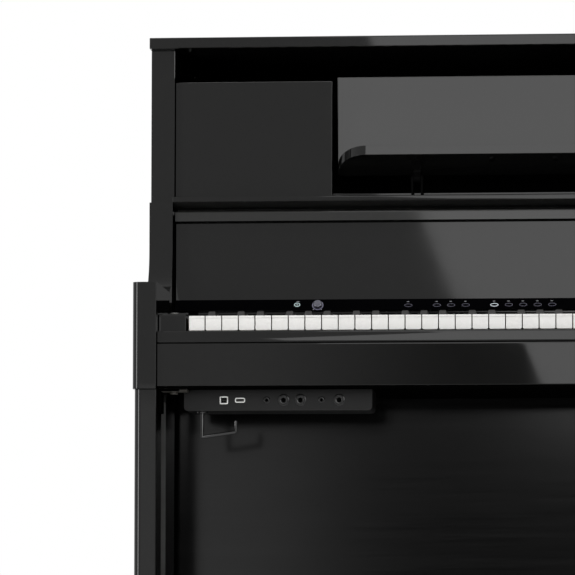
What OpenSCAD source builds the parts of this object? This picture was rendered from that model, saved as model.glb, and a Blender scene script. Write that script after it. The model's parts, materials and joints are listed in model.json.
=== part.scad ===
// Upright-cabinet digital piano, 88 weighted keys, three pedals.
// Millimetres. X runs to the player's right, Y from the player to the wall, Z up.
// The origin is on the floor, in the middle of the piano.

/* [Overall] */
// Width over the arms and the lid
piano_w = 1380; // [1376:1:1400]
// Depth from the arm fronts to the back of the lid hinges
piano_d = 493; // [490:1:520]
// Height of the closed lid's top
piano_h = 1123; // [1118:1:1145]
// Thickness of the side boards, arms and legs
side_t = 34; // [30:0.5:36]
// Running gap between a board and its neighbour
board_gap = 0.3; // [0.2:0.05:0.5]

/* [Side boards] */
// Depth from the arm fronts to the upper side board's front edge
upper_front = 215; // [213:1:219]
// How far the shoulder stands forward of the upper edge
shoulder = 20; // [16:1:24]
// Height of the shoulder's top
shoulder_z = 881; // [876:1:881]
// Height where the sweep leaves the straight edge
sweep_z = 812; // [800:1:830]
// Forward reach of the sweep on the arm's top
sweep_run = 43; // [36:1:50]

// Depth from the arm fronts to the lower side board's front edge
lower_front = 120; // [110:1:140]
// Cut at the top of the lower front edge
lower_cut = 12; // [6:1:16]

/* [Arms, legs and toes] */
// Underside of the arms
arm_z = 595; // [590:1:600]
// Top of the arms
arm_top = 746; // [742:1:750]
// Rounding of the arms' and legs' outer front edge
arm_round = 10; // [6:0.5:14]
// Front-to-back size of a leg
leg_d = 62; // [50:1:80]
// How far a leg stands back from its arm's front
leg_setback = 4; // [2:1:10]
// How far a leg's outer face stands in from the arm's
leg_inset = 2.5; // [1:0.5:4]
// Width of a toe block
toe_w = 40; // [36:1:44]
// Top of the toe blocks
toe_top = 45; // [40:1:50]
// Underside of the toe blocks
toe_z = 6; // [5:0.5:10]
// Diameter of a levelling foot
foot_d = 30; // [24:1:34]

/* [Key bed and front] */
// Underside of the key bed
bed_z = 597; // [595:0.5:600]
// Thickness of the key bed
bed_t = 28; // [24:1:30]
// Depth from the arm fronts to the front rail
rail_setback = 7; // [4:1:10]
// Front-to-back thickness of the front rail and key slip
rail_t = 20; // [16:0.5:21]
// Top of the front rail
rail_top = 660; // [650:1:662]
// Top of the key slip
slip_top = 677; // [672:0.5:677]
// Width of a key block
block_w = 39; // [34:0.5:40]
// Top of the key blocks
block_top = 703; // [701:0.5:704]
// Depth of the key blocks' rear end
block_back = 150; // [120:1:156]

/* [Keys] */
// Space between each side board and the end keys
key_margin = 42.4; // [42:0.05:43.6]
// Gap between neighbouring keys
key_gap = 1; // [0.8:0.1:1.4]
// Height of the white key tops
key_top = 700; // [698:0.5:702]
// Height of a key's body
key_h = 24; // [22:0.5:24]
// Depth from the arm fronts to the white key fronts
key_front = 30; // [28:0.5:33]
// Overhang of the key top at its front
key_lip = 1.2; // [0.8:0.1:1.6]
// Thickness of the key top plate
key_plate = 3; // [2:0.25:4]
// Length of the wide head of a white key
head_len = 53; // [48:0.5:56]
// Depth at which the visible part of the keys ends
key_step = 205; // [202:1:208]
// Depth of the keys' rear end
key_back = 300; // [290:1:310]
// Depth of the key pivot rod
pivot_back = 270; // [262:1:276]
// Diameter of the key pivot rod
pivot_rod = 5.8; // [5:0.1:6.5]
// Travel of the keys, degrees
key_travel = 2.4; // [2:0.1:2.6]
// Radial play of the rods in their bores
rod_play = 0.1; // [0.05:0.01:0.1]
// Width of a key stick behind the fallboard
stick_w = 8.6; // [7:0.2:8.6]
// Width of a black key at its base
sharp_w = 12.4; // [11:0.1:13]
// Width of a black key across its top
sharp_top_w = 9.4; // [8:0.1:10]
// Height of the black keys above the white
sharp_rise = 12; // [11:0.5:12.5]
// Gap in front of a black key, which leans forward as it goes down
sharp_gap = 1.9; // [1.8:0.1:2.4]
// Length of a black key's slope at its front
sharp_slope = 7; // [4:0.5:10]

/* [Fallboard] */
// Thickness of the fallboard
fall_t = 12; // [10:0.5:12]
// Depth of the open fallboard's inner face
fall_face = 216; // [215:0.5:217]
// Top of the open fallboard
fall_top = 869; // [860:0.5:869]
// Lower edge of the open fallboard
fall_low = 681; // [680:0.5:686]
// Height of the fallboard's nosing
nose_h = 15; // [12:0.5:18]
// Projection of the fallboard's nosing
nose_d = 14; // [10:0.5:14]
// Depth of the fallboard's pivot
fall_pivot_y = 178.9; // [177:0.1:180]
// Height of the fallboard's pivot
fall_pivot_z = 707.7; // [707:0.1:709]
// Diameter of the fallboard's pivot pins
fall_pin = 8; // [6:0.5:9]
// Thickness of a fallboard arm
arm_plate = 2; // [1.8:0.1:2.4]
// Gap at each end of the fallboard
fall_end_gap = 3; // [2:0.1:4]

/* [Control panel] */
// Depth of the control panel's lower front edge
panel_front = 188; // [188:0.5:190]
// Height of the control panel's lower edge
panel_low = 721; // [720:0.5:723]
// Height of the control panel's upper edge
panel_top = 737.5; // [735:0.5:738]
// Backward lean of the control panel over its height
panel_lean = 9; // [7:0.5:9]
// Thickness of the control panel
panel_t = 3; // [2:0.25:3]
// Distance of the power button from the side board
power_inset = 183; // [176:1:190]
// Distance of the volume knob from the side board
volume_inset = 213; // [206:1:220]
// Diameter of the volume knob
volume_d = 13; // [10:0.5:14]
// Diameter of the power button
power_d = 9; // [7:0.5:10]

/* [Upper front] */
// Height of the upper rail's top
rail2_top = 889; // [888:0.5:892]
// Gap between the upper side panels and the lid
upper_gap = 45.2; // [36:0.1:54]
// Width of an upper side panel
upper_panel_w = 231.2; // [228:0.1:232]
// Thickness of the upper and lower front panels
panel_board_t = 15; // [12:0.5:16]
// How far the upper panels stand back from the side boards' edge
upper_recess = 10; // [8:0.5:12]

/* [Music rest] */
// Backward lean of the music rest, degrees
rest_lean = 20; // [17:0.5:21]
// Depth of the rest's root
rest_y = 240; // [239:0.5:242]
// Height of the rest's root
rest_z = 923; // [922:0.5:926]
// Gap between the music board's top and the lid
rest_gap = 35.2; // [32:0.1:46]
// Thickness of the rest board
rest_t = 12; // [10:0.5:12]
// Gap between the music board's end and the upper side panel
rest_end_gap = 3.5; // [2:0.5:8]
// How much narrower each side is at the bottom
rest_taper = 4; // [2:0.5:6]
// Depth of the ledge along its slope
ledge_d = 68; // [60:1:70]
// Thickness of the ledge
ledge_t = 15; // [12:0.5:16]
// Width of the curve at each end of the ledge
ledge_curve = 45; // [36:1:50]
// Distance of the rest hinges from the music board's ends
rest_hinge_inset = 121; // [90:1:160]
// Diameter of the rest hinge pins
rest_pin = 6; // [5:0.5:7]
// Distance of a page holder's centre from the rest hinge
holder_inset = 157; // [140:1:170]
// Width of a page holder
holder_w = 82; // [70:1:96]
// Length of a page holder
holder_len = 34; // [26:1:36]

/* [Lid] */
// Thickness of the lid
lid_t = 16; // [14:0.5:18]
// Depth of the lid's front edge
lid_front = 190; // [186:1:194]
// Distance of the lid hinges' middle from the lid's ends
lid_hinge_inset = 260; // [210:5:310]
// Length of a lid hinge
hinge_len = 80; // [60:2:100]
// Diameter of the hinge knuckles
knuckle_d = 9; // [8:0.5:9]
// Diameter of the hinge pins
hinge_pin = 4; // [3:0.5:4.5]
// Length of the lid stay
stay_len = 105; // [98:1:105]
// Height of the lid stay's pivot below the lid
stay_drop = 40.7; // [38:0.1:44]
// Distance of the lid stay's pivot behind the baffle board
stay_back = 55; // [48:1:60]
// Diameter of the lid stay
stay_d = 7; // [6:0.5:8]

/* [Pedals] */
// Distance between pedals
pedal_pitch = 72; // [66:1:80]
// Width of a pedal's pad
pedal_w = 30; // [24:1:32]
// Thickness of a pedal
pedal_t = 9; // [7:0.5:10]
// Drop of the pedal pads below the shaft
pedal_drop = 10; // [6:0.5:14]
// Depth of the pedal tips
pedal_front = 112; // [105:1:125]
// Height of the pedal shaft
pedal_shaft_z = 88; // [86:0.5:90]
// Depth of the pedal shaft
pedal_shaft_y = 300; // [290:1:310]
// Diameter of the pedal shaft
pedal_shaft = 8; // [6:0.5:10]

/* [Lower cabinet] */
// Depth of the lower panel's face
lower_face = 265; // [260:1:268]
// Depth of the pedal box's face
box_face = 200; // [196:1:206]
// Height of the pedal box's top
box_top = 143; // [138:1:150]
// Thickness of the bottom board
bottom_t = 18; // [15:1:20]
// Thickness of the rear panel
rear_t = 5; // [4:0.5:8]

/* [Jack box] */
// Gap between the jack box and the side board
jack_gap = 33; // [30:1:35]
// Width of the jack box
jack_w = 268; // [262:1:274]
// Height that the jack box hangs below the key bed
jack_h = 30; // [26:0.5:32]
// Depth of the jack box's face
jack_front = 60; // [50:1:70]
// Front-to-back size of the jack box
jack_d = 80; // [60:1:90]
// Depth of the sockets behind the jack box's face
socket_d = 14; // [13:0.5:20]
// Diameter of the headphone hook's rod
hook_d = 5; // [4:0.5:6]

/* [Speakers] */
// Outside diameter of a speaker basket
speaker_d = 160; // [140:2:166]
// Distance of the speakers' centres from the side boards
speaker_inset = 116; // [106:1:126]
// Distance of the speakers' centres below the baffle board's top
speaker_drop = 85; // [82:1:92]
// Gap between the keys' rear ends and the baffle board
baffle_gap = 30; // [28:1:36]
// Room behind the music board's top when it is leaned fully back
rest_room = 20; // [16:1:20]
// Thickness of the baffle board
baffle_t = 15; // [12:1:18]

/* [Hidden] */
$fn = 64;
lacquer = [0.06, 0.06, 0.065];
matt_black = [0.09, 0.09, 0.09];
steel = [0.62, 0.63, 0.65];
half_w = piano_w / 2;
inner_half = half_w - side_t;
span_half = inner_half - board_gap;
side_top = piano_h - lid_t - board_gap;
rear_face = piano_d - knuckle_d;
hinge_y = piano_d - knuckle_d / 2;
hinge_z = piano_h - lid_t + 0.5;
bed_top = bed_z + bed_t;
bed_back = rear_face - rear_t - 9;
slip_face = rail_setback;
slip_back = rail_setback + rail_t;
stick_top = key_top - key_h;
stick_low = stick_top - key_h;
pivot_z = stick_top - key_h / 2;
pocket_face = 238;
pocket_t = 12;
pocket_low = 684;
box_inner = box_face + panel_board_t;
stay_half = inner_half - 16;
arm_x = inner_half - 1.2;
power_x = inner_half - power_inset;
volume_x = inner_half - volume_inset;
upper_top = side_top - upper_gap;
bay_half = span_half - upper_panel_w;
rest_half = bay_half - rest_end_gap;
rest_len = (side_top - rest_gap - rest_z) / cos(rest_lean) - ledge_t;
rest_back = 6;
rest_reach = rest_y + (ledge_t + rest_len) * sin(rest_lean + rest_back);
baffle_y = max(key_back + baffle_gap, rest_reach + rest_room);
stay_y = baffle_y + baffle_t + stay_back;
stay_z = side_top - stay_drop;
rest_hinge_x = rest_half - rest_hinge_inset;
holder_x = rest_hinge_x - holder_inset;
lid_hinge_x = half_w - lid_hinge_inset;
speaker_x = inner_half - speaker_inset;
speaker_z = upper_top - speaker_drop;
jack_out = inner_half - jack_gap;
holder_bar = 4;
holder_y = -ledge_d + 17;
holder_z = ledge_t + 4;
pin_out = 9;
// Octave layout, counted in white-key pitches from each C
white_slot = [["c", 0], ["d", 1], ["e", 2], ["f", 3], ["g", 4], ["a", 5], ["b", 6]];
sharp_slot = [["c_sharp", 1, -2], ["d_sharp", 2, 2], ["f_sharp", 4, -3.2], ["g_sharp", 5, 0],
              ["a_sharp", 6, 3.2]];
white_count = 52;
key_pitch = 2 * (inner_half - key_margin) / white_count;
keys_half = white_count * key_pitch / 2;
first_c = -keys_half + 2 * key_pitch;

// Everything is drawn with Y counted from the arm fronts, then moved onto the origin
module datum() {
    translate([0, -piano_d / 2, 0]) children();
}

module box(x0, x1, y0, y1, z0, z1) {
    translate([x0, y0, z0]) cube([x1 - x0, y1 - y0, z1 - z0]);
}

// A profile drawn in Y and Z, run from x0 to x1
module along_x(x0, x1) {
    translate([x0, 0, 0]) rotate([90, 0, 90]) linear_extrude(x1 - x0) children();
}

module rod_x(x0, x1, y, z, d) {
    translate([x0, y, z]) rotate([0, 90, 0]) cylinder(h = x1 - x0, d = d);
}

module rod_y(x, y0, y1, z, d) {
    translate([x, y0, z]) rotate([-90, 0, 0]) cylinder(h = y1 - y0, d = d);
}

module right_of() {
    mirror([1, 0, 0]) children();
}

module both_sides() {
    children();
    right_of() children();
}

// Points of the concave sweep from the shoulder down to the arm's top
function sweep_points(steps = 14) = [for (i = [0:steps])
    let (a = 90 * i / steps)
    [upper_front - shoulder - sweep_run * (1 - cos(a)), sweep_z - (sweep_z - arm_top) * sin(a)]];

module side_profile() {
    polygon(concat([[rear_face, toe_top], [rear_face, side_top], [upper_front, side_top],
                    [upper_front, shoulder_z], [upper_front - shoulder, shoulder_z]],
                   sweep_points(),
                   [[upper_front, arm_top], [upper_front, arm_z],
                    [lower_front + lower_cut, arm_z], [lower_front, arm_z - lower_cut],
                    [lower_front, toe_top]]));
}

module side_board() {
    color(lacquer) datum() difference() {
        along_x(-half_w, -inner_half) side_profile();
        rod_x(-inner_half - pin_out, -inner_half + 1, stay_y, stay_z, hinge_pin);
    }
}

module side_board_left() { side_board(); }
module side_board_right() { right_of() side_board(); }

// Plan outline of an arm or a leg, with its outer front corner rounded
module rounded_plan(x_out, x_in, y0, y1) {
    union() {
        translate([x_out + arm_round, y0]) square([x_in - x_out - arm_round, y1 - y0]);
        translate([x_out, y0 + arm_round]) square([arm_round + 1, y1 - y0 - arm_round]);
        translate([x_out + arm_round, y0 + arm_round]) circle(r = arm_round);
    }
}

module arm() {
    color(lacquer) datum() difference() {
        translate([0, 0, arm_z]) linear_extrude(arm_top - arm_z)
            rounded_plan(-half_w, -inner_half, 0, upper_front);
        rod_x(-inner_half - pin_out, -inner_half + 1, fall_pivot_y, fall_pivot_z, fall_pin);
    }
}

module arm_left() { arm(); }
module arm_right() { right_of() arm(); }

module leg() {
    color(lacquer) datum() translate([0, 0, toe_top]) linear_extrude(arm_z - toe_top)
        rounded_plan(-half_w + leg_inset, -inner_half, leg_setback, leg_setback + leg_d);
}

module leg_left() { leg(); }
module leg_right() { right_of() leg(); }

// Toe blocks run from front to back under the legs and side boards, with a rounded nose
module toe_blocks() {
    nose = 14;
    color(lacquer) datum() both_sides() along_x(-half_w, -half_w + toe_w) union() {
        translate([nose, toe_z]) square([rear_face - nose, toe_top - toe_z]);
        translate([0, toe_z]) square([nose + 1, toe_top - toe_z - nose]);
        translate([nose, toe_top - nose]) circle(r = nose);
    }
}

// Four screw feet: a glide disc and its thread sunk in the toe block
module levelling_feet() {
    color("dimgray") datum() both_sides() for (y = [40, rear_face - 40])
        translate([-half_w + toe_w / 2, y, 0]) cylinder(h = toe_z, d = foot_d);
}

module key_bed() {
    color(matt_black) datum()
        box(-span_half, span_half, slip_back, bed_back, bed_z, bed_top);
}

module front_rail() {
    color(lacquer) datum() along_x(-span_half, span_half)
        polygon([[slip_face, bed_z + 2], [slip_back, bed_z + 2], [slip_back, rail_top],
                 [slip_face + 2, rail_top], [slip_face, rail_top - 2]]);
}

// The key slip stands on the front rail; its face leans back in a shallow hollow curve
module key_slip() {
    round = 3;
    lean = 1.1;
    steps = 6;
    low = rail_top + 1.5;
    high = slip_top - round;
    color(lacquer) datum() along_x(-span_half, span_half) union() {
        polygon(concat([[slip_face + 1.5, rail_top], [slip_back, rail_top], [slip_back, high],
                        [slip_face + lean, high]],
                       [for (i = [steps:-1:0]) [slip_face + lean * sin(90 * i / steps),
                                                low + (high - 1 - low) * i / steps]]));
        translate([slip_face + lean + round, high])
            square([rail_t - lean - 2 * round, round]);
        translate([slip_face + lean + round, high]) circle(r = round);
        translate([slip_back - round, high]) circle(r = round);
    }
}

module key_blocks() {
    round = 5;
    color(lacquer) datum() both_sides() along_x(-span_half, -span_half + block_w) union() {
        translate([slip_back + round, bed_top]) square([block_back - slip_back - round,
                                                        block_top - bed_top]);
        translate([slip_back, bed_top]) square([round + 1, block_top - bed_top - round]);
        translate([slip_back + round, block_top - round]) circle(r = round);
    }
}

// Steel plates that tie the key bed to the legs, each with a turned-down lug and two bolts
module leg_plates() {
    plate_w = 40;
    plate_t = 4;
    color("dimgray") datum() both_sides() union() {
        difference() {
            box(-inner_half + 0.2, -inner_half + plate_w, slip_back + 3, jack_front - 2,
                bed_z - plate_t, bed_z);
            translate([-inner_half + plate_w, slip_back + 3, bed_z - plate_t - 1])
                rotate([0, 0, 45]) cube([14, 14, plate_t + 2], center = true);
        }
        box(-inner_half + 0.2, -inner_half + 4, slip_back + 3, slip_back + leg_d - 27,
            bed_z - 34, bed_z - plate_t + 0.5);
        for (y = [slip_back + 17, jack_front - 10])
            translate([-inner_half + plate_w / 2, y, bed_z - plate_t - 4]) cylinder(h = 5, d = 11);
    }
}

// Rail over the fallboard: a nosing with a sloping underside, the board behind the pocket,
// and a low bead along the back of the music bay
module upper_rail() {
    lip = lid_front;
    bead = 8.5;
    color(lacquer) datum() union() {
        along_x(-bay_half, bay_half) translate([pocket_face + 3, rail2_top - 1])
            square([pocket_t - 3, bead + 1]);
        along_x(-span_half, span_half)
            polygon([[lip, shoulder_z], [lip, rail2_top - 1.5], [lip + 1.5, rail2_top],
                     [pocket_face + pocket_t, rail2_top], [pocket_face + pocket_t, pocket_low],
                     [pocket_face, pocket_low], [pocket_face, shoulder_z - 6],
                     [lip + 22, shoulder_z - 6.5]]);
    }
}

module upper_panel() {
    y = upper_front + upper_recess;
    color(lacquer) datum()
        box(-span_half, -bay_half, y, y + panel_board_t, rail2_top, upper_top);
}

module upper_panel_left() { upper_panel(); }
module upper_panel_right() { right_of() upper_panel(); }

// The baffle closes the cabinet behind the music rest and carries the speakers
module baffle_board() {
    color(matt_black) datum() difference() {
        box(-span_half, span_half, baffle_y, baffle_y + baffle_t, bed_top, upper_top);
        for (x = [-speaker_x, speaker_x])
            rod_y(x, baffle_y - 1, baffle_y + baffle_t + 1, speaker_z, speaker_d - 22);
    }
}

// One turned profile: flange, cone, dust cap, basket and magnet, facing the player
module speaker() {
    r = speaker_d / 2;
    rotate([-90, 0, 0]) rotate_extrude()
        polygon([[0, 10], [15, 12], [19, 24], [r - 15, 0], [r, 0], [r, 4], [r - 8, 5],
                 [38, 46], [38, 68], [0, 68]]);
}

module speakers() {
    color([0.14, 0.14, 0.15]) datum() both_sides()
        translate([-speaker_x, baffle_y + baffle_t, speaker_z]) speaker();
}

module rear_panel() {
    color(matt_black) datum()
        box(-span_half, span_half, rear_face - rear_t, rear_face, toe_top + bottom_t, side_top);
}

module lower_panel() {
    color([0.08, 0.08, 0.08]) datum()
        box(-span_half, span_half, lower_face, lower_face + panel_board_t, box_top, bed_z);
}

module bottom_board() {
    color(matt_black) datum() box(-half_w + toe_w + board_gap, half_w - toe_w - board_gap,
        box_inner, rear_face, toe_top, toe_top + bottom_t);
}

// The pedal box: a front board with three slots and a top board the lower panel stands on
module pedal_box() {
    slot_w = pedal_w * 0.62 + 9;
    color(lacquer) datum() difference() {
        along_x(-span_half, span_half)
            polygon([[box_face, toe_top + 1], [box_inner, toe_top + 1], [box_inner, box_top - 15],
                     [lower_face + panel_board_t, box_top - 15],
                     [lower_face + panel_board_t, box_top],
                     [box_face + 4, box_top], [box_face, box_top - 4]]);
        for (i = [-1:1]) box(i * pedal_pitch - slot_w / 2, i * pedal_pitch + slot_w / 2,
            box_face - 1, box_inner + 1, pedal_shaft_z - 21, pedal_shaft_z + 10);
    }
}

module top_lid() {
    r = 2;
    ease = 1;
    color(lacquer) datum() along_x(-half_w, half_w) union() {
        translate([lid_front + r, piano_h - lid_t])
            square([rear_face - lid_front - r, lid_t]);
        translate([lid_front, piano_h - lid_t + ease]) square([r + 1, lid_t - ease - r]);
        translate([lid_front + r, piano_h - r]) circle(r = r);
        polygon([[lid_front, piano_h - lid_t + ease + 0.1], [lid_front + ease, piano_h - lid_t],
                 [lid_front + r + 1, piano_h - lid_t],
                 [lid_front + r + 1, piano_h - lid_t + ease + 0.1]]);
    }
}

// A butt hinge: knuckles round one pin, on a leaf against the rear edge
module knuckles(x, ranges, bore) {
    for (r = ranges) difference() {
        rod_x(x + r[0], x + r[1], hinge_y, hinge_z, knuckle_d);
        rod_x(x + r[0] - 1, x + r[1] + 1, hinge_y, hinge_z, bore);
    }
}

module lid_hinge_plates() {
    third = hinge_len / 3;
    color("goldenrod") datum() for (x = [-lid_hinge_x - hinge_len / 2, lid_hinge_x - hinge_len / 2])
        union() {
            difference() {
                box(x, x + hinge_len, rear_face, rear_face + 2, hinge_z - 34, hinge_z);
                box(x + third - 0.3, x + 2 * third + 0.3, rear_face - 1, rear_face + 3,
                    hinge_z - 6, hinge_z + 1);
                for (sx = [12, hinge_len / 2, hinge_len - 12])
                    rod_y(x + sx, rear_face - 1, rear_face + 3, hinge_z - 22, 4);
                rod_x(x - 1, x + hinge_len + 1, hinge_y, hinge_z, hinge_pin - 0.5);
            }
            knuckles(x, [[0, third], [2 * third, hinge_len]], hinge_pin - 0.5);
            rod_x(x, x + hinge_len, hinge_y, hinge_z, hinge_pin);
        }
}

module lid_hinge_leaves() {
    third = hinge_len / 3;
    color("goldenrod") datum() for (x = [-lid_hinge_x - hinge_len / 2, lid_hinge_x - hinge_len / 2])
        difference() {
            union() {
                box(x + 0.3, x + hinge_len - 0.3, rear_face, rear_face + 2,
                    hinge_z + knuckle_d / 2 + 0.5, piano_h - 1);
                box(x + third + 0.3, x + 2 * third - 0.3, rear_face, rear_face + 2,
                    hinge_z, piano_h - 1);
                rod_x(x + third + 0.3, x + 2 * third - 0.3, hinge_y, hinge_z, knuckle_d);
            }
            rod_x(x - 1, x + hinge_len + 1, hinge_y, hinge_z, hinge_pin + 2 * rod_play);
        }
}

// The stay lies forward under the closed lid and swings up as the lid opens
module lid_stay() {
    color(steel) datum() difference() {
        union() {
            rod_y(-stay_half, stay_y - stay_len, stay_y, stay_z, stay_d);
            rod_x(-stay_half - stay_d / 2, -stay_half + stay_d / 2, stay_y, stay_z, stay_d + 5);
            translate([-stay_half, stay_y - stay_len, stay_z]) sphere(d = stay_d);
        }
        rod_x(-inner_half, -stay_half + 20, stay_y, stay_z, hinge_pin + 2 * rod_play);
    }
}

module stay_bracket() {
    color(steel) datum() union() {
        rod_x(-inner_half, -inner_half + 3, stay_y, stay_z, 26);
        rod_x(-inner_half - pin_out + 1, -stay_half + stay_d / 2 + 3, stay_y, stay_z, hinge_pin);
        rod_x(-inner_half + 2, -stay_half - stay_d / 2 - 0.4, stay_y, stay_z, hinge_pin + 4);
        rod_x(-stay_half + stay_d / 2 + 0.4, -stay_half + stay_d / 2 + 3, stay_y, stay_z,
              hinge_pin + 4);
    }
}

// Fallboard, drawn open: a plain board with a nosing along its upper edge
module fallboard() {
    round = 9;
    end = inner_half - fall_end_gap;
    color(lacquer) datum() along_x(-end, end) union() {
        translate([fall_face, fall_low]) square([fall_t, fall_top - round - fall_low]);
        translate([fall_face, fall_top - round - 0.5]) square([fall_t - round, round + 0.5]);
        translate([fall_face + fall_t - round, fall_top - round]) circle(r = round);
        translate([fall_face - nose_d + 3, fall_top - 0.5 - nose_h]) square([nose_d, nose_h]);
        translate([fall_face - nose_d, fall_top - 3.5 - (nose_h - 3)])
            square([4, nose_h - 3]);
        for (z = [fall_top - 3.5, fall_top + 2.5 - nose_h])
            translate([fall_face - nose_d + 3, z]) circle(r = 3);
    }
}

// Steel arms that carry the fallboard on its pivot pins
module fallboard_arms() {
    flange = 1.8;
    color(steel) datum() both_sides() difference() {
        union() {
            along_x(-arm_x, -arm_x + arm_plate) union() {
                translate([fall_pivot_y, fall_pivot_z]) circle(d = fall_pin + 12);
                translate([fall_pivot_y, fall_pivot_z - 10])
                    square([fall_face - fall_pivot_y - flange, 20]);
                translate([fall_face - 12, fall_low + 2]) square([12 - flange, 30]);
            }
            box(-arm_x, -arm_x + 18, fall_face - flange, fall_face, fall_low + 2, fall_low + 32);
        }
        rod_x(-arm_x - 1, -arm_x + arm_plate + 1, fall_pivot_y, fall_pivot_z,
              fall_pin + 2 * rod_play);
    }
}

module fallboard_pins() {
    color(steel) datum() both_sides() union() {
        rod_x(-inner_half - pin_out + 1, -arm_x + arm_plate + 1.5, fall_pivot_y, fall_pivot_z,
              fall_pin);
        rod_x(-inner_half, -arm_x - 0.3, fall_pivot_y, fall_pivot_z, fall_pin + 5);
    }
}

// Round rubber buffers: on the key blocks for the closed fallboard, in the pocket for the open one
module fallboard_bumpers() {
    color([0.25, 0.25, 0.25]) datum() both_sides() union() {
        translate([-span_half + block_w / 2, slip_back + 24, block_top]) cylinder(h = 3, d = 12);
        rod_y(-span_half + 40, fall_face + fall_t + 0.3, pocket_face, fall_low + 99, 14);
    }
}

// The sloping control panel, with a lip along its foot; the fallboard arms pass its ends
module control_panel() {
    end = arm_x - arm_plate - 1.2;
    foot_x = keys_half + 5;
    foot_w = 14;
    color([0.02, 0.02, 0.025]) datum() difference() {
        union() {
            along_x(-end, end)
                polygon([[panel_front, panel_low], [panel_front + panel_lean, panel_top],
                         [panel_front + panel_lean + 1.5, panel_top - 1],
                         [panel_front + panel_t + 2, panel_low + 2], [key_step + 4, panel_low + 2],
                         [key_step + 4, panel_low]]);
            for (x = [-foot_x - foot_w, foot_x])
                box(x, x + foot_w, key_step - 8, key_step + 4, bed_top, panel_low + 1);
        }
        on_panel(-power_x) cylinder(h = 20, d = power_d + 0.6, center = true);
        on_panel(-volume_x) cylinder(h = 20, d = volume_d / 2 + 0.2, center = true);
    }
}

// Places a turned piece on the control panel's face, its axis square to the face
module on_panel(x) {
    lean = atan(panel_lean / (panel_top - panel_low));
    translate([x, panel_front + 0.46 * panel_lean, 0.46 * (panel_top - panel_low) + panel_low])
        rotate([90 - lean, 0, 0]) children();
}

module power_button() {
    color([0.85, 0.87, 0.9]) datum() on_panel(-power_x) translate([0, 0, -5])
        rotate_extrude() polygon([[0, 0], [power_d / 2, 0], [power_d / 2, 5.9],
                                  [power_d / 2 - 0.6, 6.5], [0, 6.5]]);
}

module volume_knob() {
    r = volume_d / 2;
    color([0.3, 0.3, 0.32]) datum() on_panel(-volume_x) union() {
        translate([0, 0, -5]) cylinder(h = 5.4, d = r);
        translate([0, 0, 0.3]) rotate_extrude()
            polygon([[0, 0], [r, 0], [r, 4.2], [r - 0.8, 5], [r - 2.5, 5], [0, 4.4]]);
    }
}

// The rest's own frame: Y runs back along the ledge and Z up the board
module rest_frame() {
    translate([0, rest_y, rest_z]) rotate([-rest_lean, 0, 0]) children();
}

module music_board() {
    bottom = rest_half - rest_taper;
    color(lacquer) datum() rest_frame() translate([0, 0, ledge_t]) rotate([90, 0, 0])
        linear_extrude(rest_t)
            polygon([[-bottom, 0], [bottom, 0], [rest_half, rest_len], [-rest_half, rest_len]]);
}

// Plan outline of the ledge, with a quarter-ellipse sweeping in at each end
function ledge_outline(steps = 16) = concat(
    [for (i = [0:steps]) let (a = 90 * i / steps)
        [-rest_half + rest_taper + ledge_curve * (1 - cos(a)), -ledge_d * sin(a)]],
    [for (i = [0:steps]) let (a = 90 - 90 * i / steps)
        [rest_half - rest_taper - ledge_curve * (1 - cos(a)), -ledge_d * sin(a)]]);

module music_ledge() {
    lug_z = -9;
    color(lacquer) datum() rest_frame() difference() {
        union() {
            linear_extrude(ledge_t) polygon(ledge_outline());
            for (s = [-1, 1]) {
                rod_x(s * rest_hinge_x - 5, s * rest_hinge_x + 5, -8, lug_z, rest_pin + 8);
                box(s * rest_hinge_x - 5, s * rest_hinge_x + 5, -15, -1, lug_z, 0.5);
                for (e = [-1, 1]) translate([s * holder_x + e * (holder_w / 2 + 5), 0, 0]) union() {
                    rod_x(-4, 4, holder_y, holder_z, holder_bar + 4);
                    box(-4, 4, holder_y - 4, holder_y + 4, ledge_t - 0.5, holder_z);
                    translate([0, holder_y, -2.5]) cylinder(h = 3, d = 9);
                }
            }
        }
        rod_x(-rest_half, rest_half, holder_y, holder_z, holder_bar + 2 * rod_play);
        for (s = [-1, 1]) rod_x(s * rest_hinge_x - 6, s * rest_hinge_x + 6, -8, lug_z,
                                rest_pin + 2 * rod_play);
    }
}

// Clevis brackets on the upper rail, each with its pin through a lug of the ledge
module music_hinges() {
    lug_z = -9;
    cheek = 3;
    gap = 5.5;
    axis_y = rest_y - 8 * cos(rest_lean) + lug_z * sin(rest_lean);
    axis_z = rest_z + 8 * sin(rest_lean) + lug_z * cos(rest_lean);
    color(steel) datum() for (s = [-1, 1]) translate([s * rest_hinge_x, 0, 0]) union() {
        for (c = [-gap - cheek, gap]) along_x(c, c + cheek) union() {
            translate([axis_y, axis_z]) circle(d = rest_pin + 6);
            translate([axis_y - 6, rail2_top]) square([12, axis_z - rail2_top]);
        }
        box(-gap - cheek - 8, gap + cheek + 8, axis_y - 9, axis_y + 9, rail2_top, rail2_top + 2);
        rod_x(-gap - cheek - 1, gap + cheek + 1, axis_y, axis_z, rest_pin);
    }
}

// A page holder folds flat on the ledge and swings up in front of the pages
module page_holder(x) {
    plate = 2;
    color([0.12, 0.12, 0.12]) datum() rest_frame() translate([x, 0, 0]) union() {
        rod_x(-holder_w / 2 - 8, holder_w / 2 + 8, holder_y, holder_z, holder_bar);
        rod_x(-holder_w / 2, holder_w / 2, holder_y, holder_z, holder_bar + 2);
        translate([0, 0, holder_z - plate / 2]) linear_extrude(plate) union() {
            translate([-holder_w / 2, holder_y]) square([holder_w, holder_len - 8]);
            translate([8 - holder_w / 2, holder_y + 2]) square([holder_w - 16, holder_len - 2]);
            for (s = [-1, 1]) translate([s * (holder_w / 2 - 8), holder_y + holder_len - 8])
                circle(r = 8);
        }
    }
}

module page_holder_left() { page_holder(-holder_x); }
module page_holder_right() { page_holder(holder_x); }

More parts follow.
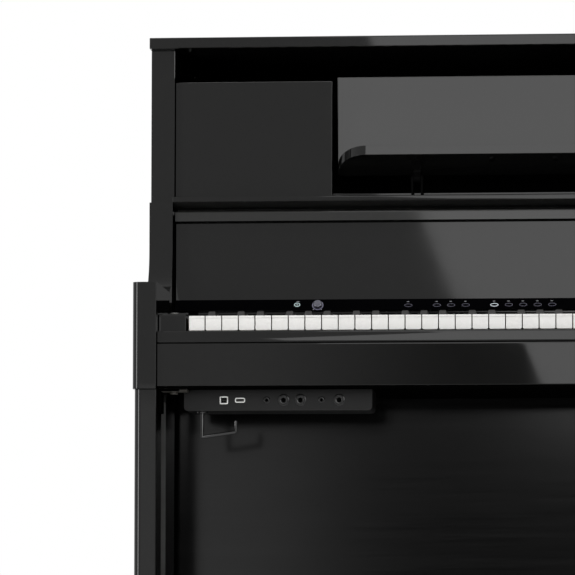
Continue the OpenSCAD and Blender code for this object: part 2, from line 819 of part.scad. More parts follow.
// Front outline of the jack box in X and Z, with rounded lower corners
module jack_outline() {
    r = 6;
    x0 = -jack_out;
    low = bed_z - jack_h;
    translate([x0, low + r]) square([jack_w, jack_h - r]);
    translate([x0 + r, low]) square([jack_w - 2 * r, r + 1]);
    for (x = [x0 + r, x0 + jack_w - r]) translate([x, low + r]) circle(r = r);
}

// The jack box hangs under the key bed: a closed body behind a face with the socket cut-outs
module jack_box() {
    color([0.1, 0.1, 0.105]) datum() translate([0, jack_front + jack_d, 0]) rotate([90, 0, 0])
        union() {
            linear_extrude(jack_d - socket_d) jack_outline();
            translate([0, 0, jack_d - socket_d]) linear_extrude(socket_d) difference() {
                jack_outline();
                for (j = jacks()) translate([-j[0], jack_z()])
                    square(jack_body(j) + 0.4, center = true);
                for (u = usb_ports()) translate([-u[0], jack_z()])
                    square([u[1] + 0.4, u[2] + 0.4], center = true);
            }
        }
}

// Round jacks: distance from the middle, outside diameter of the bush and bore for the plug
function jacks() = [for (j = [[118, 7, 3.7], [142, 12, 6.4], [166, 12, 6.4], [196, 7, 3.7],
                              [221, 12, 6.4]]) [jack_out - j[0], j[1], j[2]]];
// Square ports: distance from the middle, width and height of the shell
function usb_ports() = [for (u = [[57, 12, 11], [80, 14.5, 7]]) [jack_out - u[0], u[1], u[2]]];
function jack_z() = bed_z - 0.5 * jack_h;
function jack_body(j) = 0.94 * j[1];

module sockets() {
    wall = 0.6;
    color("silver") datum() union() {
        for (j = jacks()) difference() {
            union() {
                box(-j[0] - jack_body(j) / 2, -j[0] + jack_body(j) / 2, jack_front - 0.5,
                    jack_front + socket_d, jack_z() - jack_body(j) / 2, jack_z() + jack_body(j) / 2);
                rod_y(-j[0], jack_front - 2, jack_front, jack_z(), j[1] * 1.45);
            }
            rod_y(-j[0], jack_front - 3, jack_front + 11, jack_z(), j[2]);
        }
        for (u = usb_ports()) difference() {
            box(-u[0] - u[1] / 2, -u[0] + u[1] / 2, jack_front - 0.6, jack_front + socket_d,
                jack_z() - u[2] / 2, jack_z() + u[2] / 2);
            box(-u[0] - u[1] / 2 + wall, -u[0] + u[1] / 2 - wall, jack_front - 2, jack_front + 11,
                jack_z() - u[2] / 2 + wall, jack_z() + u[2] / 2 - wall);
        }
    }
}

// Bent rod with a mounting plate: down, inward at a rising slope, then up to a short tip
module headphone_hook() {
    x0 = -jack_out + 24;
    x1 = x0 + 48;
    y = jack_front + 20;
    top = bed_z - jack_h;
    low = 531;
    run = [x1 - x0, 7];
    color([0.03, 0.03, 0.03]) datum() union() {
        translate([x0, y, top - 2]) cylinder(h = 2, d = 16);
        translate([x0, y, low]) cylinder(h = top - low - 1, d = hook_d);
        translate([x0, y, low]) sphere(d = hook_d);
        translate([x0, y, low]) rotate([0, atan2(run[0], run[1]), 0])
            cylinder(h = norm(run), d = hook_d);
        translate([x1, y, low + run[1]]) sphere(d = hook_d);
        translate([x1, y, low + run[1]]) cylinder(h = 15, d = hook_d);
        translate([x1, y, low + run[1] + 15]) sphere(d = hook_d);
    }
}

// The circuit board on its four pillars, with its heat sink, chips and rear DC inlet
module main_board() {
    y0 = baffle_y + 22;
    y1 = rear_face - rear_t - 17;
    y_mid = (y0 + y1) / 2;
    color("darkgreen") datum() union() {
        box(-170, 170, y0, y1, bed_top + 12, bed_top + 13.6);
        for (x = [-160, 160], y = [y0 + 8, y1 - 8])
            translate([x, y, bed_top]) cylinder(h = 12.5, d = 8);
        box(-60, -20, y_mid - 20, y_mid + 20, bed_top + 13, bed_top + 17);
        for (i = [0:5]) box(30 + 12 * i, 36 + 12 * i, y_mid - 28, y_mid + 28, bed_top + 13,
                            bed_top + 38);
    }
}

// Sharps sit on these boundaries between white keys, counted from the left edge of C;
// a boundary without a sharp has no entry
function sharp_offset(boundary) =
    let (found = [for (s = sharp_slot) if (s[1] == boundary % 7) s[2]])
    len(found) > 0 ? found[0] : undef;
function letter_of(i) = (i + 5) % 7;
function white_x(i) = -keys_half + i * key_pitch;
function tail_left(i) =
    let (o = sharp_offset(letter_of(i)))
    is_undef(o) || i == 0 ? white_x(i) + key_gap / 2
                          : white_x(i) + o + sharp_w / 2 + key_gap;
function tail_right(i) =
    let (o = sharp_offset(letter_of(i) + 1))
    is_undef(o) || i == white_count - 1 ? white_x(i + 1) - key_gap / 2
                                        : white_x(i + 1) + o - sharp_w / 2 - key_gap;

// The wooden stick behind the visible key, with its pivot bore
module key_stick(x) {
    difference() {
        along_x(x - stick_w / 2, x + stick_w / 2)
            polygon([[key_step - 15, stick_low], [key_back, stick_low], [key_back, stick_top],
                     [key_step, stick_top], [key_step, stick_top + 1],
                     [key_step - 15, stick_top + 1]]);
        rod_x(x - stick_w, x + stick_w, pivot_back, pivot_z, pivot_rod + 2 * rod_play);
    }
}

// A white key: its head overhangs at the front, and its tail passes between the sharps
module white_key(i) {
    x0 = white_x(i) + key_gap / 2;
    x1 = white_x(i + 1) - key_gap / 2;
    edge = 0.8;
    union() {
        intersection() {
            along_x(x0, x1)
                polygon([[key_front + key_lip, stick_top], [key_front + key_lip, key_top - key_plate],
                         [key_front, key_top - key_plate], [key_front, key_top - edge],
                         [key_front + edge, key_top], [key_step, key_top], [key_step, stick_top]]);
            translate([0, 0, stick_top - 1]) linear_extrude(key_h + 2) union() {
                translate([x0, key_front]) square([x1 - x0, head_len]);
                translate([tail_left(i), key_front + head_len - 1])
                    square([tail_right(i) - tail_left(i), key_step - key_front - head_len + 1]);
            }
        }
        key_stick((tail_left(i) + tail_right(i)) / 2);
    }
}

// A sharp: straight below the white tops, tapered above them, with a sloping front
module sharp_key(x) {
    y0 = key_front + head_len + sharp_gap;
    w = sharp_w / 2;
    t = sharp_top_w / 2;
    top = key_top + sharp_rise;
    bevel = 1.2;
    union() {
        intersection() {
            translate([x, key_step, 0]) rotate([90, 0, 0]) linear_extrude(key_step - y0)
                polygon([[-w, stick_top], [w, stick_top], [w, key_top], [t, top - bevel],
                         [t - bevel, top], [bevel - t, top], [-t, top - bevel], [-w, key_top]]);
            along_x(x - w, x + w)
                polygon([[y0, stick_top], [y0, key_top + 1], [y0 + sharp_slope, top - bevel],
                         [y0 + sharp_slope + 2 * bevel, top], [key_step, top],
                         [key_step, stick_top]]);
        }
        key_stick(x);
    }
}

module white_keys(letter) {
    color([0.93, 0.92, 0.89]) datum()
        for (i = [0:white_count - 1]) if (letter_of(i) == letter) white_key(i);
}

module sharp_keys(n) {
    color([0.05, 0.05, 0.05]) datum() for (octave = [-1:7]) {
        x = first_c + (7 * octave + sharp_slot[n][1]) * key_pitch + sharp_slot[n][2];
        if (abs(x) < keys_half - key_pitch / 2) sharp_key(x);
    }
}

module keys_c() { white_keys(0); }
module keys_d() { white_keys(1); }
module keys_e() { white_keys(2); }
module keys_f() { white_keys(3); }
module keys_g() { white_keys(4); }
module keys_a() { white_keys(5); }
module keys_b() { white_keys(6); }
module keys_c_sharp() { sharp_keys(0); }
module keys_d_sharp() { sharp_keys(1); }
module keys_f_sharp() { sharp_keys(2); }
module keys_g_sharp() { sharp_keys(3); }
module keys_a_sharp() { sharp_keys(4); }

// Pressed-steel key frame: base, front stop rail, rear rest rail, posts and the pivot rod
module key_frame() {
    post_t = 3;
    stop_front = 45;
    stop_top = stick_top - (pivot_back - stop_front) * sin(key_travel) - 0.3;
    end = keys_half + 2;
    color(steel) datum() union() {
        box(-end, end, key_front + 5, key_back + 10, bed_top, bed_top + 2);
        box(-end, end, stop_front, stop_front + 22, bed_top, stop_top);
        box(-end, end, key_back - 14, key_back - 2, bed_top, stick_low - 0.3);
        for (x = concat([-end, end - post_t], [for (k = [0:7]) first_c + 7 * k * key_pitch - post_t / 2]))
            along_x(x, x + post_t) union() {
                translate([pivot_back - 7, bed_top]) square([14, pivot_z - bed_top]);
                translate([pivot_back, pivot_z]) circle(r = 7);
            }
        rod_x(-end, end, pivot_back, pivot_z, pivot_rod);
    }
}

// Centre line of a pedal: level at the shaft, easing down to the pad
function pedal_z(y) = y > box_face ? pedal_shaft_z
    : pedal_shaft_z - pedal_drop * (1 - cos(180 * min(1, (box_face - y) / 70))) / 2;

module pedal(x) {
    steps = 12;
    line = [for (i = [0:steps]) let (y = pedal_front + (box_face + 10 - pedal_front) * i / steps)
            [y, pedal_z(y)]];
    tail = pedal_shaft_y + 26;
    shank = 0.62 * pedal_w;
    nose = pedal_w / 2;
    color([0.83, 0.68, 0.36]) datum() translate([x, 0, 0]) difference() {
        intersection() {
            along_x(-pedal_w / 2, pedal_w / 2)
                polygon(concat([for (p = line) [p[0], p[1] - pedal_t / 2]],
                               [[tail, pedal_shaft_z - pedal_t / 2 - 4],
                                [tail, pedal_shaft_z + pedal_t / 2 + 4]],
                               [for (i = [steps:-1:0]) [line[i][0], line[i][1] + pedal_t / 2]]));
            translate([0, 0, 20]) linear_extrude(120) union() {
                translate([0, pedal_front + nose]) circle(r = nose);
                polygon([[-nose, pedal_front + nose], [nose, pedal_front + nose],
                         [nose, pedal_front + nose + 28], [shank / 2, box_face - 12],
                         [shank / 2, tail], [-shank / 2, tail], [-shank / 2, box_face - 12],
                         [-nose, pedal_front + nose + 28]]);
            }
        }
        rod_x(-pedal_w, pedal_w, pedal_shaft_y, pedal_shaft_z, pedal_shaft + 2 * rod_play);
    }
}

module pedal_left() { pedal(-pedal_pitch); }
module pedal_middle() { pedal(0); }
module pedal_right() { pedal(pedal_pitch); }

// The shaft, its four uprights and their base plate on the bottom board
module pedal_shaft_bracket() {
    base = toe_top + bottom_t;
    reach = 1.5 * pedal_pitch;
    color(steel) datum() union() {
        box(-reach - 12, reach + 12, pedal_shaft_y - 24, pedal_shaft_y + 24, base, base + 3);
        for (i = [-1.5:1:1.5]) along_x(i * pedal_pitch - 2, i * pedal_pitch + 2) union() {
            translate([pedal_shaft_y - 12, base]) square([24, pedal_shaft_z - base]);
            translate([pedal_shaft_y, pedal_shaft_z]) circle(r = 12);
        }
        rod_x(-reach - 4, reach + 4, pedal_shaft_y, pedal_shaft_z, pedal_shaft);
    }
}

side_board_left();
side_board_right();
arm_left();
arm_right();
leg_left();
leg_right();
toe_blocks();
levelling_feet();
key_bed();
front_rail();
key_slip();
key_blocks();
leg_plates();
upper_rail();
upper_panel_left();
upper_panel_right();
baffle_board();
speakers();
rear_panel();
lower_panel();
bottom_board();
pedal_box();
top_lid();
lid_hinge_plates();
lid_hinge_leaves();
lid_stay();
stay_bracket();
fallboard();
fallboard_arms();
fallboard_pins();
fallboard_bumpers();
control_panel();
power_button();
volume_knob();
music_board();
music_ledge();
music_hinges();
page_holder_left();
page_holder_right();
jack_box();
sockets();
headphone_hook();
main_board();
key_frame();
pedal_left();
pedal_middle();
pedal_right();
pedal_shaft_bracket();
keys_c();
keys_c_sharp();
keys_d();
keys_d_sharp();
keys_e();
keys_f();
keys_f_sharp();
keys_g();
keys_g_sharp();
keys_a();
keys_a_sharp();
keys_b();
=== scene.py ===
import json
import math

import bmesh
import bpy
from mathutils import Matrix, Vector


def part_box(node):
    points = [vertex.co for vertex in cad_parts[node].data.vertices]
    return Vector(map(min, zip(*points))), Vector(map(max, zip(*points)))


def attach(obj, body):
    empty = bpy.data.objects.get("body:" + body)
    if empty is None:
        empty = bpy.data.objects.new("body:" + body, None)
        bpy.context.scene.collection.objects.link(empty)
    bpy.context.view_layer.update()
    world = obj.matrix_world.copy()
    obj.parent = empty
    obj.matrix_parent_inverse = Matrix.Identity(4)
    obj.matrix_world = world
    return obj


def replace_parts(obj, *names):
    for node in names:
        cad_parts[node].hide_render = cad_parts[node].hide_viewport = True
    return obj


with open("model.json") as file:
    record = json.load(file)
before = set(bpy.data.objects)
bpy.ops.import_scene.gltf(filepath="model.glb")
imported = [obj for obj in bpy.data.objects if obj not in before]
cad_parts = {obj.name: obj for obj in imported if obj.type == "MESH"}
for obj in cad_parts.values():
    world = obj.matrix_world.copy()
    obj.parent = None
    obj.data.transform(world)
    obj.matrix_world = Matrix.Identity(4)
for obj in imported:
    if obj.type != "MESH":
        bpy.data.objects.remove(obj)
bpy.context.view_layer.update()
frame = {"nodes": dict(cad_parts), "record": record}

MM = 0.001
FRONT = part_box("arm_left")[0].y
BODY_OF = {node: body for body, nodes in frame["record"]["behaviour"]["bodies"].items()
           for node in nodes}
SLOT_OF = {part["node"]: part["material_slot"] for part in frame["record"]["subparts"]}
scene = bpy.context.scene


# ---------------------------------------------------------------- shader groups

def new_group(name, inputs, outputs):
    """A shader node group with float inputs and the named outputs."""
    group = bpy.data.node_groups.new(name, "ShaderNodeTree")
    for label, default in inputs:
        socket = group.interface.new_socket(label, in_out="INPUT", socket_type="NodeSocketFloat")
        socket.default_value = default
    for label, kind in outputs:
        group.interface.new_socket(label, in_out="OUTPUT", socket_type=kind)
    tree = group.nodes
    return group, tree.new("NodeGroupInput"), tree.new("NodeGroupOutput")


def feed(links, value, socket):
    """Links an input to another node's output, or sets it to a number."""
    if isinstance(value, (int, float)):
        socket.default_value = value
    else:
        links.new(value, socket)


def math_node(nodes, links, operation, a, b):
    """A math node whose two inputs are outputs or numbers."""
    node = nodes.new("ShaderNodeMath")
    node.operation = operation
    feed(links, a, node.inputs[0])
    feed(links, b, node.inputs[1])
    return node.outputs[0]


def spread(nodes, links, value, low, high, to_low=0.0, to_high=1.0):
    """Stretches the span from low to high over another span, and stops at its ends."""
    node = nodes.new("ShaderNodeMapRange")
    for label, end in (("Value", value), ("From Min", low), ("From Max", high),
                       ("To Min", to_low), ("To Max", to_high)):
        feed(links, end, node.inputs[label])
    return node


def blend(nodes, links, factor, first, second):
    """A colour between two; the first is a colour or an output, the second a colour."""
    node = nodes.new("ShaderNodeMix")
    node.data_type = "RGBA"
    links.new(factor, node.inputs["Factor"])
    start, end = node.inputs[6], node.inputs[7]
    if isinstance(first, tuple):
        start.default_value = (*first, 1)
    else:
        links.new(first, start)
    end.default_value = (*second, 1)
    return node.outputs[2]


def scaled_noise(nodes, links, stretch, scale, detail, rough=0.55):
    """Object-space noise, stretched along each axis by the given factors."""
    place = nodes.new("ShaderNodeTexCoord")
    mapping = nodes.new("ShaderNodeMapping")
    mapping.inputs["Scale"].default_value = stretch
    links.new(place.outputs["Object"], mapping.inputs["Vector"])
    noise = nodes.new("ShaderNodeTexNoise")
    noise.inputs["Detail"].default_value = detail
    noise.inputs["Roughness"].default_value = rough
    links.new(mapping.outputs["Vector"], noise.inputs["Vector"])
    feed(links, scale, noise.inputs["Scale"])
    return noise.outputs["Fac"]


def make_edge_wear():
    """A mask that is high along rubbed edges, broken up by noise."""
    group, source, sink = new_group("edge wear", [("Radius", 0.0015), ("Amount", 0.5)],
                                    [("Mask", "NodeSocketFloat")])
    nodes, links = group.nodes, group.links
    bevel = nodes.new("ShaderNodeBevel")
    bevel.samples = 4
    links.new(source.outputs["Radius"], bevel.inputs["Radius"])
    flat = nodes.new("ShaderNodeNewGeometry")
    dot = nodes.new("ShaderNodeVectorMath")
    dot.operation = "DOT_PRODUCT"
    links.new(bevel.outputs["Normal"], dot.inputs[0])
    links.new(flat.outputs["Normal"], dot.inputs[1])
    bend = math_node(nodes, links, "SUBTRACT", 1.0, dot.outputs["Value"])
    bend = math_node(nodes, links, "MULTIPLY", bend, 5.0)
    patches = scaled_noise(nodes, links, (1, 1, 1), 60.0, 3.0)
    patches = math_node(nodes, links, "SUBTRACT", patches, 0.35)
    worn = math_node(nodes, links, "MULTIPLY", bend, patches)
    worn = math_node(nodes, links, "MULTIPLY", worn, source.outputs["Amount"])
    clamp = nodes.new("ShaderNodeClamp")
    links.new(worn, clamp.inputs["Value"])
    links.new(clamp.outputs[0], sink.inputs["Mask"])
    return group


def make_surface_noise():
    """Fine variation for a finish: a value between Low and High, and a height for bump."""
    group, source, sink = new_group(
        "surface noise", [("Low", 0.1), ("High", 0.2), ("Scale", 20.0)],
        [("Value", "NodeSocketFloat"), ("Height", "NodeSocketFloat")])
    nodes, links = group.nodes, group.links
    broad = scaled_noise(nodes, links, (1, 1, 1), source.outputs["Scale"], 4.0)
    value = spread(nodes, links, broad, 0.3, 0.7, source.outputs["Low"], source.outputs["High"])
    fine_scale = math_node(nodes, links, "MULTIPLY", source.outputs["Scale"], 12.0)
    fine = scaled_noise(nodes, links, (1, 1, 1), fine_scale, 2.0)
    links.new(value.outputs["Result"], sink.inputs["Value"])
    links.new(fine, sink.inputs["Height"])
    return group


def make_long_grain():
    """Grain drawn out along X: a streak mask and a height."""
    group, source, sink = new_group("long grain", [("Scale", 60.0)],
                                    [("Streak", "NodeSocketFloat"), ("Height", "NodeSocketFloat")])
    nodes, links = group.nodes, group.links
    wide = scaled_noise(nodes, links, (0.025, 1.0, 1.0), source.outputs["Scale"], 6.0, 0.65)
    thin_scale = math_node(nodes, links, "MULTIPLY", source.outputs["Scale"], 6.0)
    thin = scaled_noise(nodes, links, (0.012, 1.0, 1.0), thin_scale, 3.0)
    mix = math_node(nodes, links, "MULTIPLY", thin, 0.5)
    mix = math_node(nodes, links, "ADD", mix, math_node(nodes, links, "MULTIPLY", wide, 0.5))
    links.new(spread(nodes, links, mix, 0.35, 0.65).outputs["Result"], sink.inputs["Streak"])
    links.new(mix, sink.inputs["Height"])
    return group


EDGE_WEAR = make_edge_wear()
SURFACE_NOISE = make_surface_noise()
LONG_GRAIN = make_long_grain()


# ---------------------------------------------------------------- finishes

def grey(tone):
    return (tone, tone, tone)


def finish(name, dark, light, rough, scale, metallic=0.0, level=0.5, wear=0.0,
           wear_colour=(0.2, 0.2, 0.2), bump=0.0, grain=0.0, sheen=0.0):
    """A principled finish whose colour runs from dark to light over fine noise.

    rough is the span of the roughness, scale and grain are how fine the noise and the
    streaks are, level is the specular level and bump the height of the relief in metres.
    """
    material = bpy.data.materials.new(name)
    material.use_nodes = True
    nodes, links = material.node_tree.nodes, material.node_tree.links
    shader = nodes["Principled BSDF"]
    shader.inputs["Metallic"].default_value = metallic
    shader.inputs["Specular IOR Level"].default_value = level
    shader.inputs["Sheen Weight"].default_value = sheen
    noise = nodes.new("ShaderNodeGroup")
    noise.node_tree = SURFACE_NOISE
    noise.inputs["Low"].default_value = rough[0]
    noise.inputs["High"].default_value = rough[1]
    noise.inputs["Scale"].default_value = scale
    height = streak = noise.outputs["Height"]
    if grain:
        streaks = nodes.new("ShaderNodeGroup")
        streaks.node_tree = LONG_GRAIN
        streaks.inputs["Scale"].default_value = grain
        height, streak = streaks.outputs["Height"], streaks.outputs["Streak"]
    base = blend(nodes, links, streak, dark, light)
    roughness = noise.outputs["Value"]
    if wear:
        edge = nodes.new("ShaderNodeGroup")
        edge.node_tree = EDGE_WEAR
        edge.inputs["Amount"].default_value = wear
        base = blend(nodes, links, edge.outputs["Mask"], base, wear_colour)
        roughness = math_node(nodes, links, "ADD", roughness,
                              math_node(nodes, links, "MULTIPLY", edge.outputs["Mask"], 0.3))
    links.new(base, shader.inputs["Base Color"])
    links.new(roughness, shader.inputs["Roughness"])
    if bump:
        relief = nodes.new("ShaderNodeBump")
        relief.inputs["Strength"].default_value = 1.0
        relief.inputs["Distance"].default_value = bump
        links.new(height, relief.inputs["Height"])
        links.new(relief.outputs["Normal"], shader.inputs["Normal"])
    return material


def glow(name, colour, strength):
    """A lit mark under a clear dark face."""
    material = finish(name, grey(0.02), grey(0.03), (0.2, 0.25), 200.0)
    shader = material.node_tree.nodes["Principled BSDF"]
    shader.inputs["Emission Color"].default_value = (*colour, 1)
    shader.inputs["Emission Strength"].default_value = strength
    return material


LACQUER = finish("black lacquer", (0.003, 0.003, 0.0029), (0.005, 0.005, 0.0048), (0.02, 0.05), 9.0,
                 level=0.25, wear=0.25, wear_colour=grey(0.05), bump=0.00000012)
# A lighter copy of the black lacquer: painted sheen on the strip along the fallboard's head
LACQUER_PAINTED_SHEEN = finish("lacquer with painted sheen", (0.017, 0.017, 0.0165), (0.021, 0.021, 0.0205),
                      (0.03, 0.06), 9.0, level=0.25, bump=0.00000012)
# Lighter than the lacquer: a painted highlight on the side boards' lower fronts and on the upper
# rail's underside
SATIN_PAINTED_HIGHLIGHT = finish("satin with painted highlight", (0.014, 0.014, 0.0135), (0.02, 0.02, 0.019), (0.35, 0.45),
                    60.0, level=0.3, bump=0.000008)
SATIN = finish("satin grained panel", grey(0), grey(0.0062), (0.12, 0.13), 120.0, level=0.26,
               bump=0.000006, grain=100.0)
# Matt black of the boards inside the works; also painted shade in the recess beside the lower panel
# and under the leg plates
INNER_PAINT_AND_SHADE = finish("inner board paint and painted shade", grey(0.001), grey(0.0022), (0.8, 0.9), 40.0, level=0.0,
               bump=0.00004)
REAR_BOARD = finish("stained rear board", (0.010, 0.0095, 0.009), (0.03, 0.028, 0.026),
                    (0.6, 0.75), 60.0, level=0.2, bump=0.00006, grain=70.0)
IVORY = finish("ivory key top", (0.80, 0.79, 0.765), (0.86, 0.85, 0.83), (0.22, 0.34), 60.0,
               level=0.4, bump=0.000006)
EBONY = finish("ebony key top", (0.006, 0.006, 0.006), (0.022, 0.02, 0.019), (0.3, 0.42), 90.0,
               level=0.45, bump=0.00002)
SPRUCE = finish("spruce key stick", (0.42, 0.28, 0.15), (0.62, 0.45, 0.28), (0.5, 0.65), 40.0,
                bump=0.00003, grain=90.0)
# Dark brown key sides: painted shade in the gaps between the white keys
KEY_SIDE_SHADE = finish("key side with painted shade", (0.05, 0.035, 0.022), (0.09, 0.062, 0.04), (0.5, 0.65), 40.0,
                  bump=0.00003, grain=90.0)
KEY_FELT = finish("key frame felt", (0.02, 0.09, 0.05), (0.04, 0.14, 0.08), (0.9, 0.98), 300.0,
                  level=0.1, bump=0.0001, sheen=0.3)
ZINC = finish("zinc-plated steel", (0.5, 0.5, 0.52), (0.66, 0.66, 0.68), (0.25, 0.4), 80.0,
              metallic=1.0, wear=0.4, wear_colour=(0.75, 0.75, 0.76), bump=0.000008)
BLACK_STEEL = finish("black painted steel", grey(0.006), grey(0.016), (0.32, 0.45), 120.0,
                     level=0.4, wear=0.3, bump=0.00001)
MATT_STEEL = finish("matt black steel", grey(0.001), grey(0.002), (0.5, 0.65), 120.0, level=0.02,
                    bump=0.00001)
PLATE_BRONZE = finish("bronzed steel plate", (0.045, 0.042, 0.036), (0.07, 0.066, 0.056),
                      (0.4, 0.55), 90.0, level=0.4, bump=0.00001)
HINGE_BRASS = finish("brushed hinge brass", (0.55, 0.38, 0.15), (0.7, 0.52, 0.25), (0.25, 0.4),
                     70.0, metallic=1.0, wear=0.4, wear_colour=(0.85, 0.7, 0.42), bump=0.000006)
PEDAL_BRASS = finish("polished pedal brass", (0.72, 0.50, 0.20), (0.83, 0.63, 0.32), (0.1, 0.22),
                     30.0, metallic=1.0, wear=0.5, wear_colour=(0.9, 0.78, 0.5), bump=0.000004)
BUFFER_RUBBER = finish("pale buffer rubber", (0.12, 0.12, 0.115), (0.2, 0.2, 0.19), (0.35, 0.5),
                       120.0, bump=0.00001)
PANEL_GLOSS = finish("touch panel gloss", (0.0004, 0.0004, 0.0006), (0.001, 0.001, 0.0014),
                     (0.12, 0.2), 40.0, level=0.004, bump=0.0000005)
BUTTON_CAP = finish("smoked button cap", (0.004, 0.006, 0.006), (0.01, 0.014, 0.014), (0.15, 0.25),
                    90.0, level=0.4, bump=0.000002)
KNOB_METAL = finish("turned knob metal", (0.07, 0.07, 0.085), (0.12, 0.12, 0.14), (0.12, 0.2),
                    200.0, metallic=1.0, wear=0.6, wear_colour=(0.5, 0.5, 0.52), bump=0.000006)
BOX_PLASTIC = finish("jack box plastic", grey(0.003), grey(0.007), (0.34, 0.46), 260.0, level=0.2,
                     wear=0.2, wear_colour=grey(0.06), bump=0.00002)
JACK_NUT = finish("black jack nut", grey(0.003), grey(0.006), (0.16, 0.24), 150.0, level=0.4,
                  bump=0.000004)
# Near-black and barely glossy: painted shade inside the sockets, the ports and the box's openings
SOCKET_SHADE = finish("socket inside with painted shade", grey(0.001), grey(0.003), (0.6, 0.7), 90.0, level=0.1)
PORT_RIM = finish("white port rim", (0.72, 0.72, 0.7), (0.85, 0.85, 0.83), (0.3, 0.4), 90.0)
PORT_TONGUE = finish("port tongue plastic", (0.012, 0.011, 0.009), (0.03, 0.026, 0.02),
                     (0.4, 0.5), 90.0)
HOOK_BLACK = finish("dipped hook coating", grey(0.003), grey(0.008), (0.08, 0.12), 120.0,
                    level=0.6, bump=0.000002)
HOLDER_PLASTIC = finish("page holder plastic", grey(0.006), grey(0.012), (0.4, 0.5), 200.0,
                        bump=0.00001)
CONE_PAPER = finish("cone paper", grey(0.012), grey(0.03), (0.7, 0.85), 150.0, bump=0.00006)
BOARD_GREEN = finish("circuit board mask", (0.01, 0.07, 0.03), (0.015, 0.11, 0.045), (0.3, 0.45),
                     200.0, bump=0.00001)
FOOT_PLASTIC = finish("foot glide plastic", grey(0.01), grey(0.02), (0.5, 0.65), 120.0,
                      bump=0.00002)
FLOOR_PALE = finish("pale floor", grey(0.80), grey(0.83), (0.6, 0.7), 3.0, level=0.3)
LIT_CYAN = glow("lit power ring", (0.75, 0.98, 1.0), 0.75)
LIT_KNOB = glow("lit knob ring", (0.62, 0.6, 0.9), 0.16)
LIT_WHITE = glow("lit white mark", (0.85, 0.92, 1.0), 0.95)
LIT_VIOLET = glow("dim violet mark", (0.24, 0.2, 0.5), 0.09)
LIT_GREY = glow("dim grey mark", (0.6, 0.6, 0.66), 0.25)

FINISH_OF_SLOT = {
    "lacquer": LACQUER, "inner_board": INNER_PAINT_AND_SHADE, "satin_panel": SATIN, "foot_plastic": FOOT_PLASTIC,
    "black_steel": BLACK_STEEL, "hinge_brass": HINGE_BRASS, "plated_steel": ZINC,
    "bumper_rubber": BUFFER_RUBBER, "panel_plastic": PANEL_GLOSS, "button_plastic": BUTTON_CAP,
    "knob_metal": KNOB_METAL, "holder_plastic": HOLDER_PLASTIC, "jack_box_plastic": BOX_PLASTIC,
    "circuit_board": BOARD_GREEN, "pedal_brass": PEDAL_BRASS, "white_key": IVORY,
    "sharp_key": EBONY}


# ---------------------------------------------------------------- mesh helpers

# How edges are rounded: width in millimetres, segments, and the least bend in degrees
BOARD_EDGE = (1.0, 3, 25.0)
HIDDEN_EDGE = (0.8, 2, 25.0)
BACK_EDGE = (0.15, 2, 25.0)
WHITE_KEY_EDGE = (0.5, 3, 40.0)
SHARP_KEY_EDGE = (1.1, 4, 20.0)
PANEL_EDGE = (0.4, 3, 20.0)
CONTROL_EDGE = (0.35, 3, 30.0)
BOX_EDGE = (0.7, 3, 30.0)
PEDAL_EDGE = (1.6, 4, 30.0)
FITTING_EDGE = (0.35, 2, 30.0)


def at(x, depth, height):
    """A point from millimetres: across, back from the arm fronts and up from the floor."""
    return Vector((x * MM, FRONT + depth * MM, height * MM))


def link_mesh(name, mesh, material, body):
    """A new piece from a finished mesh, riding on a body."""
    piece = bpy.data.objects.new(name, mesh)
    scene.collection.objects.link(piece)
    mesh.materials.append(material)
    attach(piece, body)
    return piece


def link_form(name, form, material, body, hard=35.0):
    """A new piece from a bmesh, shaded smooth up to the given angle."""
    mesh = bpy.data.meshes.new(name)
    bmesh.ops.recalc_face_normals(form, faces=form.faces)
    form.to_mesh(mesh)
    form.free()
    piece = link_mesh(name, mesh, material, body)
    smooth(piece, hard)
    return piece


def smooth(piece, angle=35.0):
    """Shades a piece smooth, keeps its hard edges and flattens its large faces."""
    piece.data.shade_smooth()
    piece.data.set_sharp_from_angle(angle=math.radians(angle))
    normals = piece.modifiers.new("flat faces", "WEIGHTED_NORMAL")
    normals.keep_sharp = True
    normals.weight = 80


def cleaned(node):
    """The node's own shape as a bmesh, with its flat faces joined up."""
    form = bmesh.new()
    form.from_mesh(frame["nodes"][node].data)
    bmesh.ops.remove_doubles(form, verts=form.verts, dist=2e-6)
    bmesh.ops.dissolve_limit(form, angle_limit=math.radians(0.8), verts=form.verts,
                             edges=form.edges)
    return form


def ease(form, edges, width, segments=3):
    """Rounds the given edges by a width in millimetres."""
    bmesh.ops.bevel(form, geom=list(edges), offset=width * MM, offset_type="OFFSET",
                    segments=segments, profile=0.5, affect="EDGES", clamp_overlap=True)


def hard_edges(form, bend=25.0):
    """The edges where two faces meet with more than the bend in degrees."""
    return [edge for edge in form.edges
            if len(edge.link_faces) == 2 and edge.calc_face_angle() > math.radians(bend)]


def dressed(node, edge=None, form=None, material=None):
    """A piece in the node's place, in its own shape with the hard edges eased."""
    form = form or cleaned(node)
    if edge:
        width, segments, bend = edge
        ease(form, hard_edges(form, bend), width, segments)
    mesh = bpy.data.meshes.new(node + "_dressed")
    form.to_mesh(mesh)
    form.free()
    slot = SLOT_OF[node]
    material = material or FINISH_OF_SLOT[slot]
    piece = link_mesh("dressed_" + node, mesh, material, BODY_OF[node])
    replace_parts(piece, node)
    smooth(piece)
    return piece


def paint_faces(piece, material, chooses):
    """Gives a second finish to the faces that the test picks by centre and normal."""
    piece.data.materials.append(material)
    index = len(piece.data.materials) - 1
    for face in piece.data.polygons:
        if chooses(face.center, face.normal):
            face.material_index = index


def axis_frame(origin, axis):
    """A matrix that puts local Z along the axis at the origin."""
    turn = Vector(axis).to_track_quat("Z", "Y").to_matrix().to_4x4()
    return Matrix.Translation(origin) @ turn


